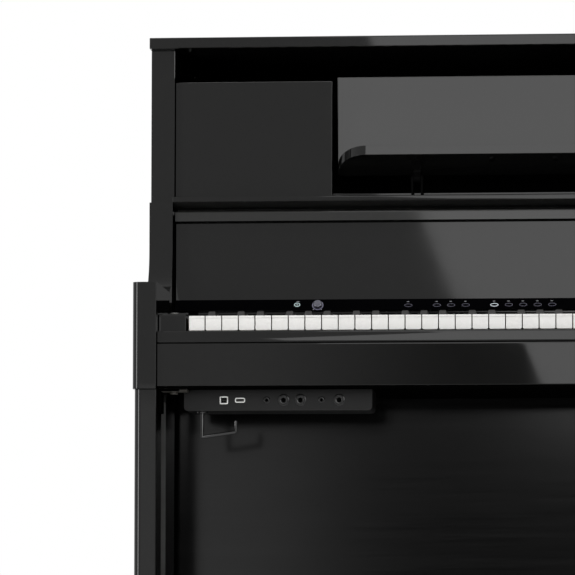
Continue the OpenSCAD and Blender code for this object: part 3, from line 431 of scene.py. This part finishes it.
def turn_profile(form, profile, place, segments=32):
    """Adds a solid of revolution about local Z; the profile is (radius, height) in mm."""
    rings = []
    for radius, height in profile:
        if radius == 0:
            rings.append([form.verts.new(place @ Vector((0, 0, height * MM)))])
            continue
        rings.append([form.verts.new(place @ Vector((
            radius * MM * math.cos(math.tau * i / segments),
            radius * MM * math.sin(math.tau * i / segments), height * MM)))
            for i in range(segments)])
    for low, high in zip(rings, rings[1:]):
        for i in range(segments):
            j = (i + 1) % segments
            corners = [low[i % len(low)], low[j % len(low)], high[j % len(high)],
                       high[i % len(high)]]
            form.faces.new(list(dict.fromkeys(corners)))


def rounded_outline(width, height, radius, steps=5):
    """Points of a rectangle with round corners, in millimetres about its middle."""
    points = []
    for index, (sx, sy) in enumerate(((1, 1), (-1, 1), (-1, -1), (1, -1))):
        centre = (sx * (width / 2 - radius), sy * (height / 2 - radius))
        for step in range(steps + 1):
            turn = math.radians(90 * (index + step / steps))
            points.append((centre[0] + radius * math.cos(turn),
                           centre[1] + radius * math.sin(turn)))
    return points


def oval_outline(width, height, steps=28):
    """Points of an oval, in millimetres about its middle."""
    turns = [math.tau * i / steps for i in range(steps)]
    return [(width / 2 * math.cos(turn), height / 2 * math.sin(turn)) for turn in turns]


def add_plate(form, outline, place, low, high, hole=None):
    """Adds a flat plate between two heights, with an optional hole of as many points."""
    def ring(points, height):
        return [form.verts.new(place @ Vector((x * MM, y * MM, height * MM))) for x, y in points]

    def wall(first, second):
        for i in range(len(first)):
            j = (i + 1) % len(first)
            form.faces.new((first[i], first[j], second[j], second[i]))

    outer_low, outer_high = ring(outline, low), ring(outline, high)
    wall(outer_low, outer_high)
    if hole is None:
        form.faces.new(outer_high)
        form.faces.new(outer_low[::-1])
        return
    inner_low, inner_high = ring(hole, low), ring(hole, high)
    wall(inner_high, inner_low)
    wall(outer_high, inner_high)
    wall(inner_low, outer_low)


def cross_outline(size):
    """The twelve corners of a cross recess, anticlockwise."""
    arm, half = 0.5 * size, 0.11 * size
    corners = []
    quarter = [(arm, half), (half, half), (half, arm)]
    for _ in range(4):
        corners += quarter
        quarter = [(-y, x) for x, y in quarter]
    return corners


def add_screw(form, place, diameter, height):
    """Adds a domed screw head with a cross recess that narrows to its floor."""
    radius = diameter / 2
    turn_profile(form, [(radius, 0), (radius, 0.35 * height), (0.86 * radius, 0.8 * height),
                        (0.62 * radius, height)], place, 36)
    form.verts.ensure_lookup_table()
    rim = form.verts[-36:]
    top, floor = [[form.verts.new(place @ Vector((x * MM, y * MM, z * MM)))
                   for x, y in cross_outline(size)]
                  for size, z in ((0.539 * diameter, height), (0.441 * diameter, 0.25 * height))]
    for i in range(12):
        j = (i + 1) % 12
        form.faces.new((top[i], top[j], floor[j], floor[i]))
        form.faces.new((rim[3 * i], rim[3 * i + 1], top[i]))
        form.faces.new((rim[3 * i + 1], rim[3 * i + 2], top[j], top[i]))
        form.faces.new((rim[3 * i + 2], rim[(3 * i + 3) % 36], top[j]))
    form.faces.new(floor[::-1])


def screws(name, spots, axis, diameter, height, material, body):
    """One piece with a screw head at each spot, each cross turned its own way."""
    form = bmesh.new()
    for index, spot in enumerate(spots):
        spin = Matrix.Rotation(math.radians(37 * index % 90), 4, "Z")
        add_screw(form, axis_frame(spot, axis) @ spin, diameter, height)
    return link_form(name, form, material, body)


# ---------------------------------------------------------------- cabinet

FALLBOARD_HEAD = at(0, 206, 854.5)  # the strip along its head lies before and above this
WORKS = at(0, 217, 0).y  # the works begin here, behind the fallboard
ARM_FRONT = at(0, 100, 0).y  # the arms' own front ends before this


def dress_cabinet():
    """The boards: lacquered ones well rounded, hidden ones barely."""
    for board in ("leg_left", "leg_right", "toe_blocks", "key_slip", "front_rail", "key_blocks",
                  "upper_panel_left", "upper_panel_right", "pedal_box", "music_board"):
        dressed(board, BOARD_EDGE)
    # The strip along the fallboard's head takes the lighter lacquer, a painted sheen
    paint_faces(dressed("fallboard", BOARD_EDGE), LACQUER_PAINTED_SHEEN, lambda centre, normal: (
        centre.z > FALLBOARD_HEAD.z and centre.y < FALLBOARD_HEAD.y))
    for board in ("key_bed", "baffle_board", "bottom_board", "lower_panel"):
        dressed(board, HIDDEN_EDGE)
    paint_faces(dressed("rear_panel", BACK_EDGE), REAR_BOARD,
                lambda centre, normal: normal.y > 0.3)
    # The rail's downward faces take the lighter satin, a painted highlight
    paint_faces(dressed("upper_rail", HIDDEN_EDGE), SATIN_PAINTED_HIGHLIGHT,
                lambda centre, normal: normal.z < -0.5)
    # Mirror-like fronts see the studio past the closed lid
    dressed("top_lid", BOARD_EDGE).visible_glossy = False


def dress_side(board, inner_face, floor, recess):
    """A side board or arm: matt on the faces that look into the works, painted shade in the recess
    beside the lower panel, and a lighter satin down its lower front as a painted highlight.
    """
    form = cleaned(board)
    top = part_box(board)[1].z
    # The edges that meet the closed lid stay square
    ease(form, [edge for edge in hard_edges(form)
                if min(vert.co.z for vert in edge.verts) < top - 0.1 * MM], 0.6)
    # The faces are cut where their paint changes
    for point, axis in (((0, 0, floor), (0, 0, 1)), ((0, recess, 0), (0, 1, 0)),
                        ((0, WORKS, 0), (0, 1, 0))):
        bmesh.ops.bisect_plane(form, geom=form.verts[:] + form.edges[:] + form.faces[:],
                               plane_co=point, plane_no=axis)
    piece = dressed(board, form=form)
    # Faces looking into the works above the key bed take the matt inner paint; from the recess line
    # back, the lower inner faces take it too, as painted shade of the recess
    paint_faces(piece, INNER_PAINT_AND_SHADE, lambda centre, normal: (
        centre.x * normal.x < 0 and abs(normal.x) > 0.5
        and (centre.y > WORKS and centre.z > floor or centre.y > recess)
        and abs(centre.x) < inner_face + 0.8 * MM))
    paint_faces(piece, INNER_PAINT_AND_SHADE, lambda centre, normal: (
        normal.z > 0.9 and centre.z > top - 1 * MM and board.startswith("side")))
    # The lower fronts take the lighter satin, a painted highlight
    paint_faces(piece, SATIN_PAINTED_HIGHLIGHT, lambda centre, normal: (
        normal.y < -0.5 and centre.z < floor and centre.y > ARM_FRONT))


def dress_sides():
    """Both side boards and both arms, painted from the same three limits."""
    inner_face = abs(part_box("side_board_left")[1].x)
    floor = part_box("key_bed")[0].z + 10 * MM
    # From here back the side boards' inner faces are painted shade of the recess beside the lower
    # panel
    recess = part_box("lower_panel")[0].y - 38 * MM
    for board in ("side_board_left", "side_board_right", "arm_left", "arm_right"):
        dress_side(board, inner_face, floor, recess)


# The music rest leans back about its foot; heights are measured square to the ledge
REST_LEAN = math.radians(20)
REST_FOOT = at(0, 240, 923)
LEDGE_THICKNESS = 15.0 * MM


def dress_music_ledge():
    """The ledge is lacquered; the holders' lugs and their screws are black steel."""
    def is_fitting(centre, normal):
        reach = centre - REST_FOOT
        height = reach.z * math.cos(REST_LEAN) + reach.y * math.sin(REST_LEAN)
        return not -0.6 * MM < height < LEDGE_THICKNESS + 0.6 * MM

    paint_faces(dressed("music_ledge", BOARD_EDGE), MATT_STEEL, is_fitting)


def rear_screws():
    """Nine screws along the rear panel's head and foot, and five down each end."""
    low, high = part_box("rear_panel")
    inset = 9 * MM
    left, right = low.x + inset, high.x - inset
    foot, head = low.z + inset, high.z - 4 * inset
    spots = [Vector((left + (right - left) * i / 8, high.y, z))
             for z in (foot, head) for i in range(9)]
    spots += [Vector((x, high.y, foot + (head - foot) * i / 6))
              for x in (left, right) for i in range(1, 6)]
    screws("rear_panel_screws", spots, (0, 1, 0), 8, 2.2, BLACK_STEEL, "cabinet")


def hinge_screws():
    """Three screws in each plate and leaf of the lid's two hinges."""
    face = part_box("rear_panel")[1].y + 2 * MM
    for node, body, height in (("lid_hinge_plates", "cabinet", 0.62),
                               ("lid_hinge_leaves", "lid", 0.5)):
        low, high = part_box(node)
        middle = high.x - 40 * MM
        z = low.z + (high.z - low.z) * height
        spots = [Vector((side * middle + offset * MM, face, z)) for side in (-1, 1)
                 for offset in (-28, 0, 28)]
        screws(node + "_screws", spots, (0, 1, 0), 5, 0.9, HINGE_BRASS, body)


# ---------------------------------------------------------------- keys

HEAD_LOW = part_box("keys_c")[1].z - 24 * MM
HEAD_LIFT = 3.4 * MM  # how far the heads' lower edge is lifted from the sticks
STICK_FRONT = at(0, 190.2, 0).y


def shape_heads(form):
    """Lifts the heads' lower edge, and narrows the heads a little at their fronts."""
    for vert in form.verts:
        if abs(vert.co.z - HEAD_LOW) < 0.2 * MM and vert.co.y < STICK_FRONT:
            vert.co.z += HEAD_LIFT
    front = at(0, 60, 0).y
    narrowed = {vert: math.copysign(0.2 * MM, face.normal.x)
                for face in form.faces if abs(face.normal.x) > 0.9
                for vert in face.verts if vert.co.y < front}
    for vert, step in narrowed.items():
        vert.co.x -= step


def dress_white_keys(letter):
    """Ivory tops and fronts with rounded lower corners, on bare wooden sticks."""
    node = "keys_" + letter
    form = cleaned(node)
    shape_heads(form)
    back = at(0, 110, 0).y
    corners = [edge for edge in form.edges
               if all(abs(vert.co.z - HEAD_LOW - HEAD_LIFT) < 0.2 * MM and vert.co.y < back
                      for vert in edge.verts)
               and abs(edge.verts[0].co.y - edge.verts[1].co.y) > 20 * MM]
    ease(form, corners, 2.0, 4)
    keys = dressed(node, WHITE_KEY_EDGE, form)
    ivory_end = at(0, 34, 0).y
    paint_faces(keys, SPRUCE, lambda centre, normal: (
        centre.z < HEAD_LOW + 3 * MM or (normal.z < -0.9 and centre.y > ivory_end)))
    # The sides, their rounded edges too, are darkened as painted shade in the gaps between keys
    paint_faces(keys, KEY_SIDE_SHADE, lambda centre, normal: abs(normal.x) > 0.5)


def dress_keys():
    """The white keys, the sharps, and the frame with its felt."""
    for letter in "abcdefg":
        dress_white_keys(letter)
    for letter in "acdfg":
        keys = dressed("keys_" + letter + "_sharp", SHARP_KEY_EDGE)
        paint_faces(keys, SPRUCE, lambda centre, normal: centre.z < HEAD_LOW - 0.1 * MM)
    felt = at(0, 70, 660)
    paint_faces(dressed("key_frame", FITTING_EDGE), KEY_FELT, lambda centre, normal: (
        normal.z > 0.8 and centre.z > felt.z and centre.y < felt.y))


# ---------------------------------------------------------------- control panel

# The sloping face runs from its foot to its head: depth and height in millimetres
PANEL_FOOT, PANEL_HEAD = (188.0, 721.0), (197.0, 737.5)
POWER_X, VOLUME_X = -473.0, -443.0
TOUCH_MARKS = (-311.0, -269.5, -249.0, -227.7, -186.2, -165.2, -144.4, -123.4, -102.5)
ACTIVE_MARK = 4
DIAL_HEIGHT = 0.46  # the share of the slope at which the button and the knob sit


def on_panel(x, share, proud=0.0):
    """A frame on the panel's sloping face: local X across, Y up the slope, Z out of it."""
    run, rise = PANEL_HEAD[0] - PANEL_FOOT[0], PANEL_HEAD[1] - PANEL_FOOT[1]
    lean = math.atan2(run, rise)
    spot = at(x, PANEL_FOOT[0] + share * run, PANEL_FOOT[1] + share * rise)
    return (Matrix.Translation(spot) @ Matrix.Rotation(math.radians(90) - lean, 4, "X")
            @ Matrix.Translation((0, 0, proud * MM)))


def inlay(form, outline, place, hole=None, proud=0.12):
    """Adds a thin mark that is let 0.2 mm into the face."""
    add_plate(form, outline, place, -0.2, proud, hole)


def touch_mark(form, x, width=11.6, height=5.6, line=0.7):
    """The drawn oval of one touch switch."""
    inlay(form, oval_outline(width, height), on_panel(x, 0.40),
          oval_outline(width - 2 * line, height - 2 * line))


def panel_marks():
    """Lit ovals of the touch switches, each with its small lamp above."""
    dim, lamps, lit = bmesh.new(), bmesh.new(), bmesh.new()
    for index, x in enumerate(TOUCH_MARKS):
        touch_mark(lit if index == ACTIVE_MARK else dim, x)
        inlay(lamps, rounded_outline(3.4, 1.0, 0.45, 3), on_panel(x - 0.6, 0.74))
    inlay(lamps, rounded_outline(4.4, 1.1, 0.5, 3), on_panel(POWER_X + 1, 0.80))
    for x in (VOLUME_X - 6, VOLUME_X + 5.5):
        inlay(lamps, rounded_outline(1.6, 1.4, 0.4, 3), on_panel(x, 0.07))
    link_form("touch_marks", dim, LIT_VIOLET, "cabinet")
    link_form("active_mark", lit, LIT_WHITE, "cabinet")
    link_form("touch_lamps", lamps, LIT_GREY, "cabinet")


def panel_lip():
    """The glossy lip that hangs under the panel, close over the keys."""
    low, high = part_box("control_panel")
    middle = (low.x + high.x) / MM / 2
    across, up = (high.x - low.x) / MM / 2 - 3, 1.95
    thickness = 1.6
    place = axis_frame(at(middle, 206.6, 717 + up), (0, -1, 0))
    outline = [(across, up), (-across, up), (-across, -up), (across, -up)]
    form = bmesh.new()
    add_plate(form, outline, place, 0, thickness)
    ease(form, form.edges, 0.25, 2)
    link_form("panel_lip", form, LACQUER, "cabinet")


def power_ring():
    """A lit ring and bar let into the power button's face."""
    form = bmesh.new()
    spot = on_panel(POWER_X, DIAL_HEIGHT, 1.5)
    inlay(form, oval_outline(8.8, 6.6), spot, oval_outline(7.4, 5.2), 0.08)
    inlay(form, rounded_outline(0.7, 2.4, 0.3, 3), spot, proud=0.1)
    link_form("power_ring", form, LIT_CYAN, "power")


def knob_details():
    """The light around the knob, its ribbed edge and the pointer line on its face."""
    spot = on_panel(VOLUME_X, DIAL_HEIGHT)
    ring = bmesh.new()
    turn_profile(ring, [(6.9, -0.3), (6.9, 0.25), (8.1, 0.25), (8.5, -0.3), (6.9, -0.3)], spot, 48)
    link_form("knob_light", ring, LIT_KNOB, "cabinet")
    ribs = bmesh.new()
    rib = [(6.3, -0.22), (6.62, -0.12), (6.62, 0.12), (6.3, 0.22)]
    for step in range(36):
        add_plate(ribs, rib, spot @ Matrix.Rotation(math.tau * step / 36, 4, "Z"), 0.7, 4.1)
    pointer = spot @ Matrix.Translation((0, 4.6 * MM, 0))
    add_plate(ribs, rounded_outline(0.7, 2.6, 0.3, 3), pointer, 4.9, 5.15)
    link_form("knob_ribs", ribs, KNOB_METAL, "volume", 20)


def dress_control_panel():
    dressed("control_panel", PANEL_EDGE)
    dressed("power_button", CONTROL_EDGE)
    dressed("volume_knob", CONTROL_EDGE)
    panel_marks()
    panel_lip()
    power_ring()
    knob_details()


# ---------------------------------------------------------------- jack box

JACKS = {mount["name"]: mount for mount in frame["record"]["mounts"] if mount["kind"] == "bore"}
JACK_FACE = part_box("jack_box")[0].y
SOCKET_Z = JACKS["line_jack"]["pos_m"][2]
# The USB ports: across, width, height, wall and corner radius in millimetres
SQUARE_PORT = (-566.0, 12.0, 11.0, 1.7, 1.6)
FLAT_PORT = (-543.0, 14.5, 7.0, 1.6, 2.4)


def on_jack_face(x, inward=0.0):
    """A frame on the box's front at socket height, with local Z towards the player."""
    return axis_frame(Vector((x, JACK_FACE + inward * MM, SOCKET_Z)), (0, -1, 0))


def jack(nuts, wells, place, nut, bore):
    """A chamfered nut round a stepped bush, and behind it a well of painted shade; radii in mm."""
    mouth = (bore, 1.0)
    turn_profile(nuts, [(nut, -0.3), (nut, 0.8), (nut - 0.5, 1.3), (0.80 * nut, 1.5),
                        (0.77 * nut, 1.1), (0.70 * nut, 1.1), (0.67 * nut, 1.9),
                        (0.52 * nut, 1.95), (bore + 0.3, 1.6), mouth], place, 40)
    turn_profile(wells, [mouth, (bore, -10.8), (0, -10.8)], place, 40)


def port(shells, wells, x, width, height, wall, radius):
    """A port's shell, and a plate of painted shade that closes it at the back."""
    inner = (width - 2 * wall, height - 2 * wall)
    add_plate(shells, rounded_outline(width, height, radius), on_jack_face(x * MM), -10.0, 0.55,
              rounded_outline(*inner, max(radius - wall, 0.3)))
    add_plate(wells, rounded_outline(*inner, 0.4), on_jack_face(x * MM, 9), -0.5, 0.0)


def port_tongues(form):
    """Two short tongues in the square port and one broad one in the flat port."""
    for x, width, height in ((SQUARE_PORT[0] - 1.4, 1.5, 1.8), (SQUARE_PORT[0] + 1.4, 1.5, 1.8),
                             (FLAT_PORT[0], 9.0, 1.0)):
        add_plate(form, rounded_outline(width, height, 0.3, 2), on_jack_face(x * MM), -9.0, -0.8)


def dress_jack_box():
    box = dressed("jack_box", BOX_EDGE)
    low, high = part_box("jack_box")
    # The walls of the box's openings are painted shade
    paint_faces(box, SOCKET_SHADE, lambda centre, normal: (
        0.8 * MM < centre.y - low.y < 14.5 * MM
        and low.x + 8 * MM < centre.x < high.x - 8 * MM
        and low.z + 4 * MM < centre.z < high.z - 4 * MM))
    nuts, wells, shells, tongues = (bmesh.new() for _ in range(4))
    for name, mount in JACKS.items():
        nut = 4.9 if name.startswith("mini") else 8.6
        jack(nuts, wells, on_jack_face(mount["pos_m"][0]), nut, mount["dims"]["r_mm"])
    port(shells, wells, *SQUARE_PORT)
    port(shells, wells, *FLAT_PORT)
    port_tongues(tongues)
    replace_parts(link_form("jack_nuts", nuts, JACK_NUT, "cabinet", 28), "sockets")
    link_form("jack_wells", wells, SOCKET_SHADE, "cabinet")
    rims = link_form("port_shells", shells, PORT_RIM, "cabinet")
    # The shells' inner walls are painted shade
    paint_faces(rims, SOCKET_SHADE, lambda centre, normal: centre.y > JACK_FACE + 0.3 * MM)
    link_form("port_tongues", tongues, PORT_TONGUE, "cabinet")


# ---------------------------------------------------------------- speakers

def speaker(baskets, cones, place, radius):
    """Basket flange and magnet in one form; surround, ribbed cone and cap in the other."""
    turn_profile(baskets, [(radius - 14, 0.4), (radius - 2, 0), (radius, 1.2), (radius, 4),
                           (radius - 8, 5), (38, 46), (38, 68), (0, 68)], place, 64)
    surround = [(radius - 14 - 12 * i / 8, 0.6 - 5.0 * math.sin(math.pi * i / 8))
                for i in range(9)]
    ribs = [(radius - 27 - (radius - 47) * i / 24, 2 + 20 * i / 24 + (0.5 if i % 2 else -0.5))
            for i in range(25)]
    cap = [(20 * math.cos(math.pi / 2 * i / 8), 22 - 9 * math.sin(math.pi / 2 * i / 8))
           for i in range(8)]
    turn_profile(cones, surround + ribs + cap + [(0, 13)], place, 64)


def dress_speakers():
    low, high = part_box("speakers")
    radius = (high.z - low.z) / MM / 2
    baskets, cones = bmesh.new(), bmesh.new()
    for x in (low.x + radius * MM, high.x - radius * MM):
        spot = Vector((x, low.y, (low.z + high.z) / 2))
        speaker(baskets, cones, axis_frame(spot, (0, 1, 0)), radius)
    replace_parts(link_form("speaker_baskets", baskets, BLACK_STEEL, "cabinet"),
                "speakers")
    link_form("speaker_cones", cones, CONE_PAPER, "cabinet", 60)


# ---------------------------------------------------------------- metal and plastic pieces

def dress_fittings():
    """Pedals well rounded, small fittings barely, and the hook's rod as it is."""
    for pedal in ("pedal_left", "pedal_middle", "pedal_right"):
        dressed(pedal, PEDAL_EDGE)
    for fitting in ("lid_stay", "stay_bracket", "fallboard_arms", "page_holder_left",
                    "page_holder_right", "lid_hinge_plates", "lid_hinge_leaves",
                    "pedal_shaft_bracket", "fallboard_pins", "levelling_feet", "main_board",
                    "fallboard_bumpers"):
        dressed(fitting, FITTING_EDGE)
    dressed("music_hinges", FITTING_EDGE, material=MATT_STEEL)
    dressed("headphone_hook", material=HOOK_BLACK)
    plates = dressed("leg_plates", FITTING_EDGE, material=PLATE_BRONZE)
    # The lugs and screws under the plate are painted matt black: painted shade beneath the plate
    lug_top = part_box("leg_plates")[1].z - 6.2 * MM
    paint_faces(plates, INNER_PAINT_AND_SHADE, lambda centre, normal: centre.z < lug_top)


dress_cabinet()
dress_sides()
dress_music_ledge()
rear_screws()
hinge_screws()
dress_keys()
dress_control_panel()
dress_jack_box()
dress_speakers()
dress_fittings()


# ---------------------------------------------------------------- stage, light and camera

def area_light(name, place, target, size, power):
    """A soft rectangular lamp aimed at a point."""
    data = bpy.data.lights.new(name, "AREA")
    data.shape = "RECTANGLE"
    data.size, data.size_y = size
    data.energy = power
    lamp = bpy.data.objects.new(name, data)
    scene.collection.objects.link(lamp)
    lamp.location = place
    lamp.rotation_euler = (Vector(target) - Vector(place)).to_track_quat("-Z", "Y").to_euler()
    lamp.visible_camera = False


def flat_sheet(name, corners, material):
    """A single flat face that belongs to the studio, not to the piano."""
    mesh = bpy.data.meshes.new(name)
    mesh.from_pydata(corners, [], [tuple(range(len(corners)))])
    mesh.materials.append(material)
    sheet = bpy.data.objects.new(name, mesh)
    scene.collection.objects.link(sheet)
    return sheet


def seen_directly(nodes, links):
    """One where the camera, or a mirror-like or clear surface, looks; nought elsewhere."""
    ray = nodes.new("ShaderNodeLightPath")
    seen = math_node(nodes, links, "MAXIMUM", ray.outputs["Is Camera Ray"],
                     ray.outputs["Is Glossy Ray"])
    return math_node(nodes, links, "MAXIMUM", seen, ray.outputs["Is Transmission Ray"])


def make_floor(reach=40.0, lift=0.4):
    """A pale floor that looks a little lighter than the light it throws back."""
    nodes, links = FLOOR_PALE.node_tree.nodes, FLOOR_PALE.node_tree.links
    shader = nodes["Principled BSDF"]
    shader.inputs["Emission Color"].default_value = (1, 1, 1, 1)
    strength = math_node(nodes, links, "MULTIPLY", seen_directly(nodes, links), lift)
    links.new(strength, shader.inputs["Emission Strength"])
    flat_sheet("floor", [(-reach, -reach, 0), (reach, -reach, 0), (reach, reach, 0),
                         (-reach, reach, 0)], FLOOR_PALE)


def make_world(fill):
    """White where the camera or a mirror-like surface looks, a soft fill elsewhere."""
    world = bpy.data.worlds.new("studio")
    scene.world = world
    world.use_nodes = True
    nodes, links = world.node_tree.nodes, world.node_tree.links
    back = nodes["Background"]
    back.inputs["Color"].default_value = (1, 1, 1, 1)
    strength = spread(nodes, links, seen_directly(nodes, links), 0.0, 1.0, fill)
    links.new(strength.outputs["Result"], back.inputs["Strength"])


def card_light(name, strength, fade=None):
    """A card's even light, or one that fades from left to right: (from, to, left strength)."""
    material = bpy.data.materials.new(name + " light")
    material.use_nodes = True
    nodes, links = material.node_tree.nodes, material.node_tree.links
    nodes.clear()
    lamp = nodes.new("ShaderNodeEmission")
    lamp.inputs["Strength"].default_value = strength
    if fade:
        place = nodes.new("ShaderNodeTexCoord")
        split = nodes.new("ShaderNodeSeparateXYZ")
        links.new(place.outputs["Object"], split.inputs[0])
        ramp = spread(nodes, links, split.outputs["X"], *fade, strength)
        ramp.interpolation_type = "SMOOTHSTEP"
        links.new(ramp.outputs["Result"], lamp.inputs["Strength"])
    out = nodes.new("ShaderNodeOutputMaterial")
    links.new(lamp.outputs[0], out.inputs["Surface"])
    return material


def hang_card(name, outline, y, strength, fade=None):
    """An upright lit card in front of the piano; a fading one shows in reflections alone."""
    card = flat_sheet(name, [(x, y, z) for x, z in outline], card_light(name, strength, fade))
    card.visible_camera = False
    card.visible_shadow = False
    card.visible_diffuse = fade is None


def make_camera(place, yaw, pitch, lens, shift):
    """A camera aimed by degrees to the left and upwards."""
    data = bpy.data.cameras.new("camera")
    camera = bpy.data.objects.new("camera", data)
    scene.collection.objects.link(camera)
    scene.camera = camera
    data.sensor_width = 36.0
    data.lens = lens
    data.clip_end = 200
    data.shift_x, data.shift_y = shift
    camera.location = place
    camera.rotation_euler = (math.radians(90 + pitch), 0, math.radians(yaw))


# Outlines of the cards, across and up, in metres. The large soft panel hangs to the player's
# right, and its slanting edge ends the sheen on the fallboard, the rail and the key slip.
SOFT_PANEL = [(-0.845, 2.28), (-0.678, 1.678), (-0.577, 1.423), (-0.322, 1.233), (-0.27, 1.095),
              (-0.25, 1.05), (3.4, 1.05), (3.4, 3.4), (-1.25, 3.4)]
RAIL_CARD = [(-1.6, 1.06), (3.6, 1.06), (3.6, 1.3), (-1.6, 1.3)]
LOW_CARD = [(-1.9, 0.0), (3.6, 0.0), (3.6, 1.06), (-1.9, 1.06)]
SOFT_PANEL_Y = -7.5
CARD_Y = -7.6

make_floor()
make_world(0.28)
hang_card("soft_panel", SOFT_PANEL, SOFT_PANEL_Y, 3.95)
hang_card("rail_card", RAIL_CARD, CARD_Y, 0.2, (-1.35, -0.45, 1.0))
hang_card("low_card", LOW_CARD, CARD_Y, 0.05, (-1.36, -0.75, 1.35))
area_light("overhead soft box", (0.88, -3.4, 4.5), (0.88, 0, 0.95), (3.4, 2.0), 72)
area_light("left soft box", (-3.2, -2.6, 1.25), (-0.5, 0, 0.75), (0.9, 2.6), 68)
# On the piano's centre line, low, and turned to the left half of the front
make_camera((0, FRONT - 5.4, 0.226), yaw=3.911, pitch=3.936, lens=242.47, shift=(-0.125, 0.17))
scene.view_settings.view_transform = "Standard"
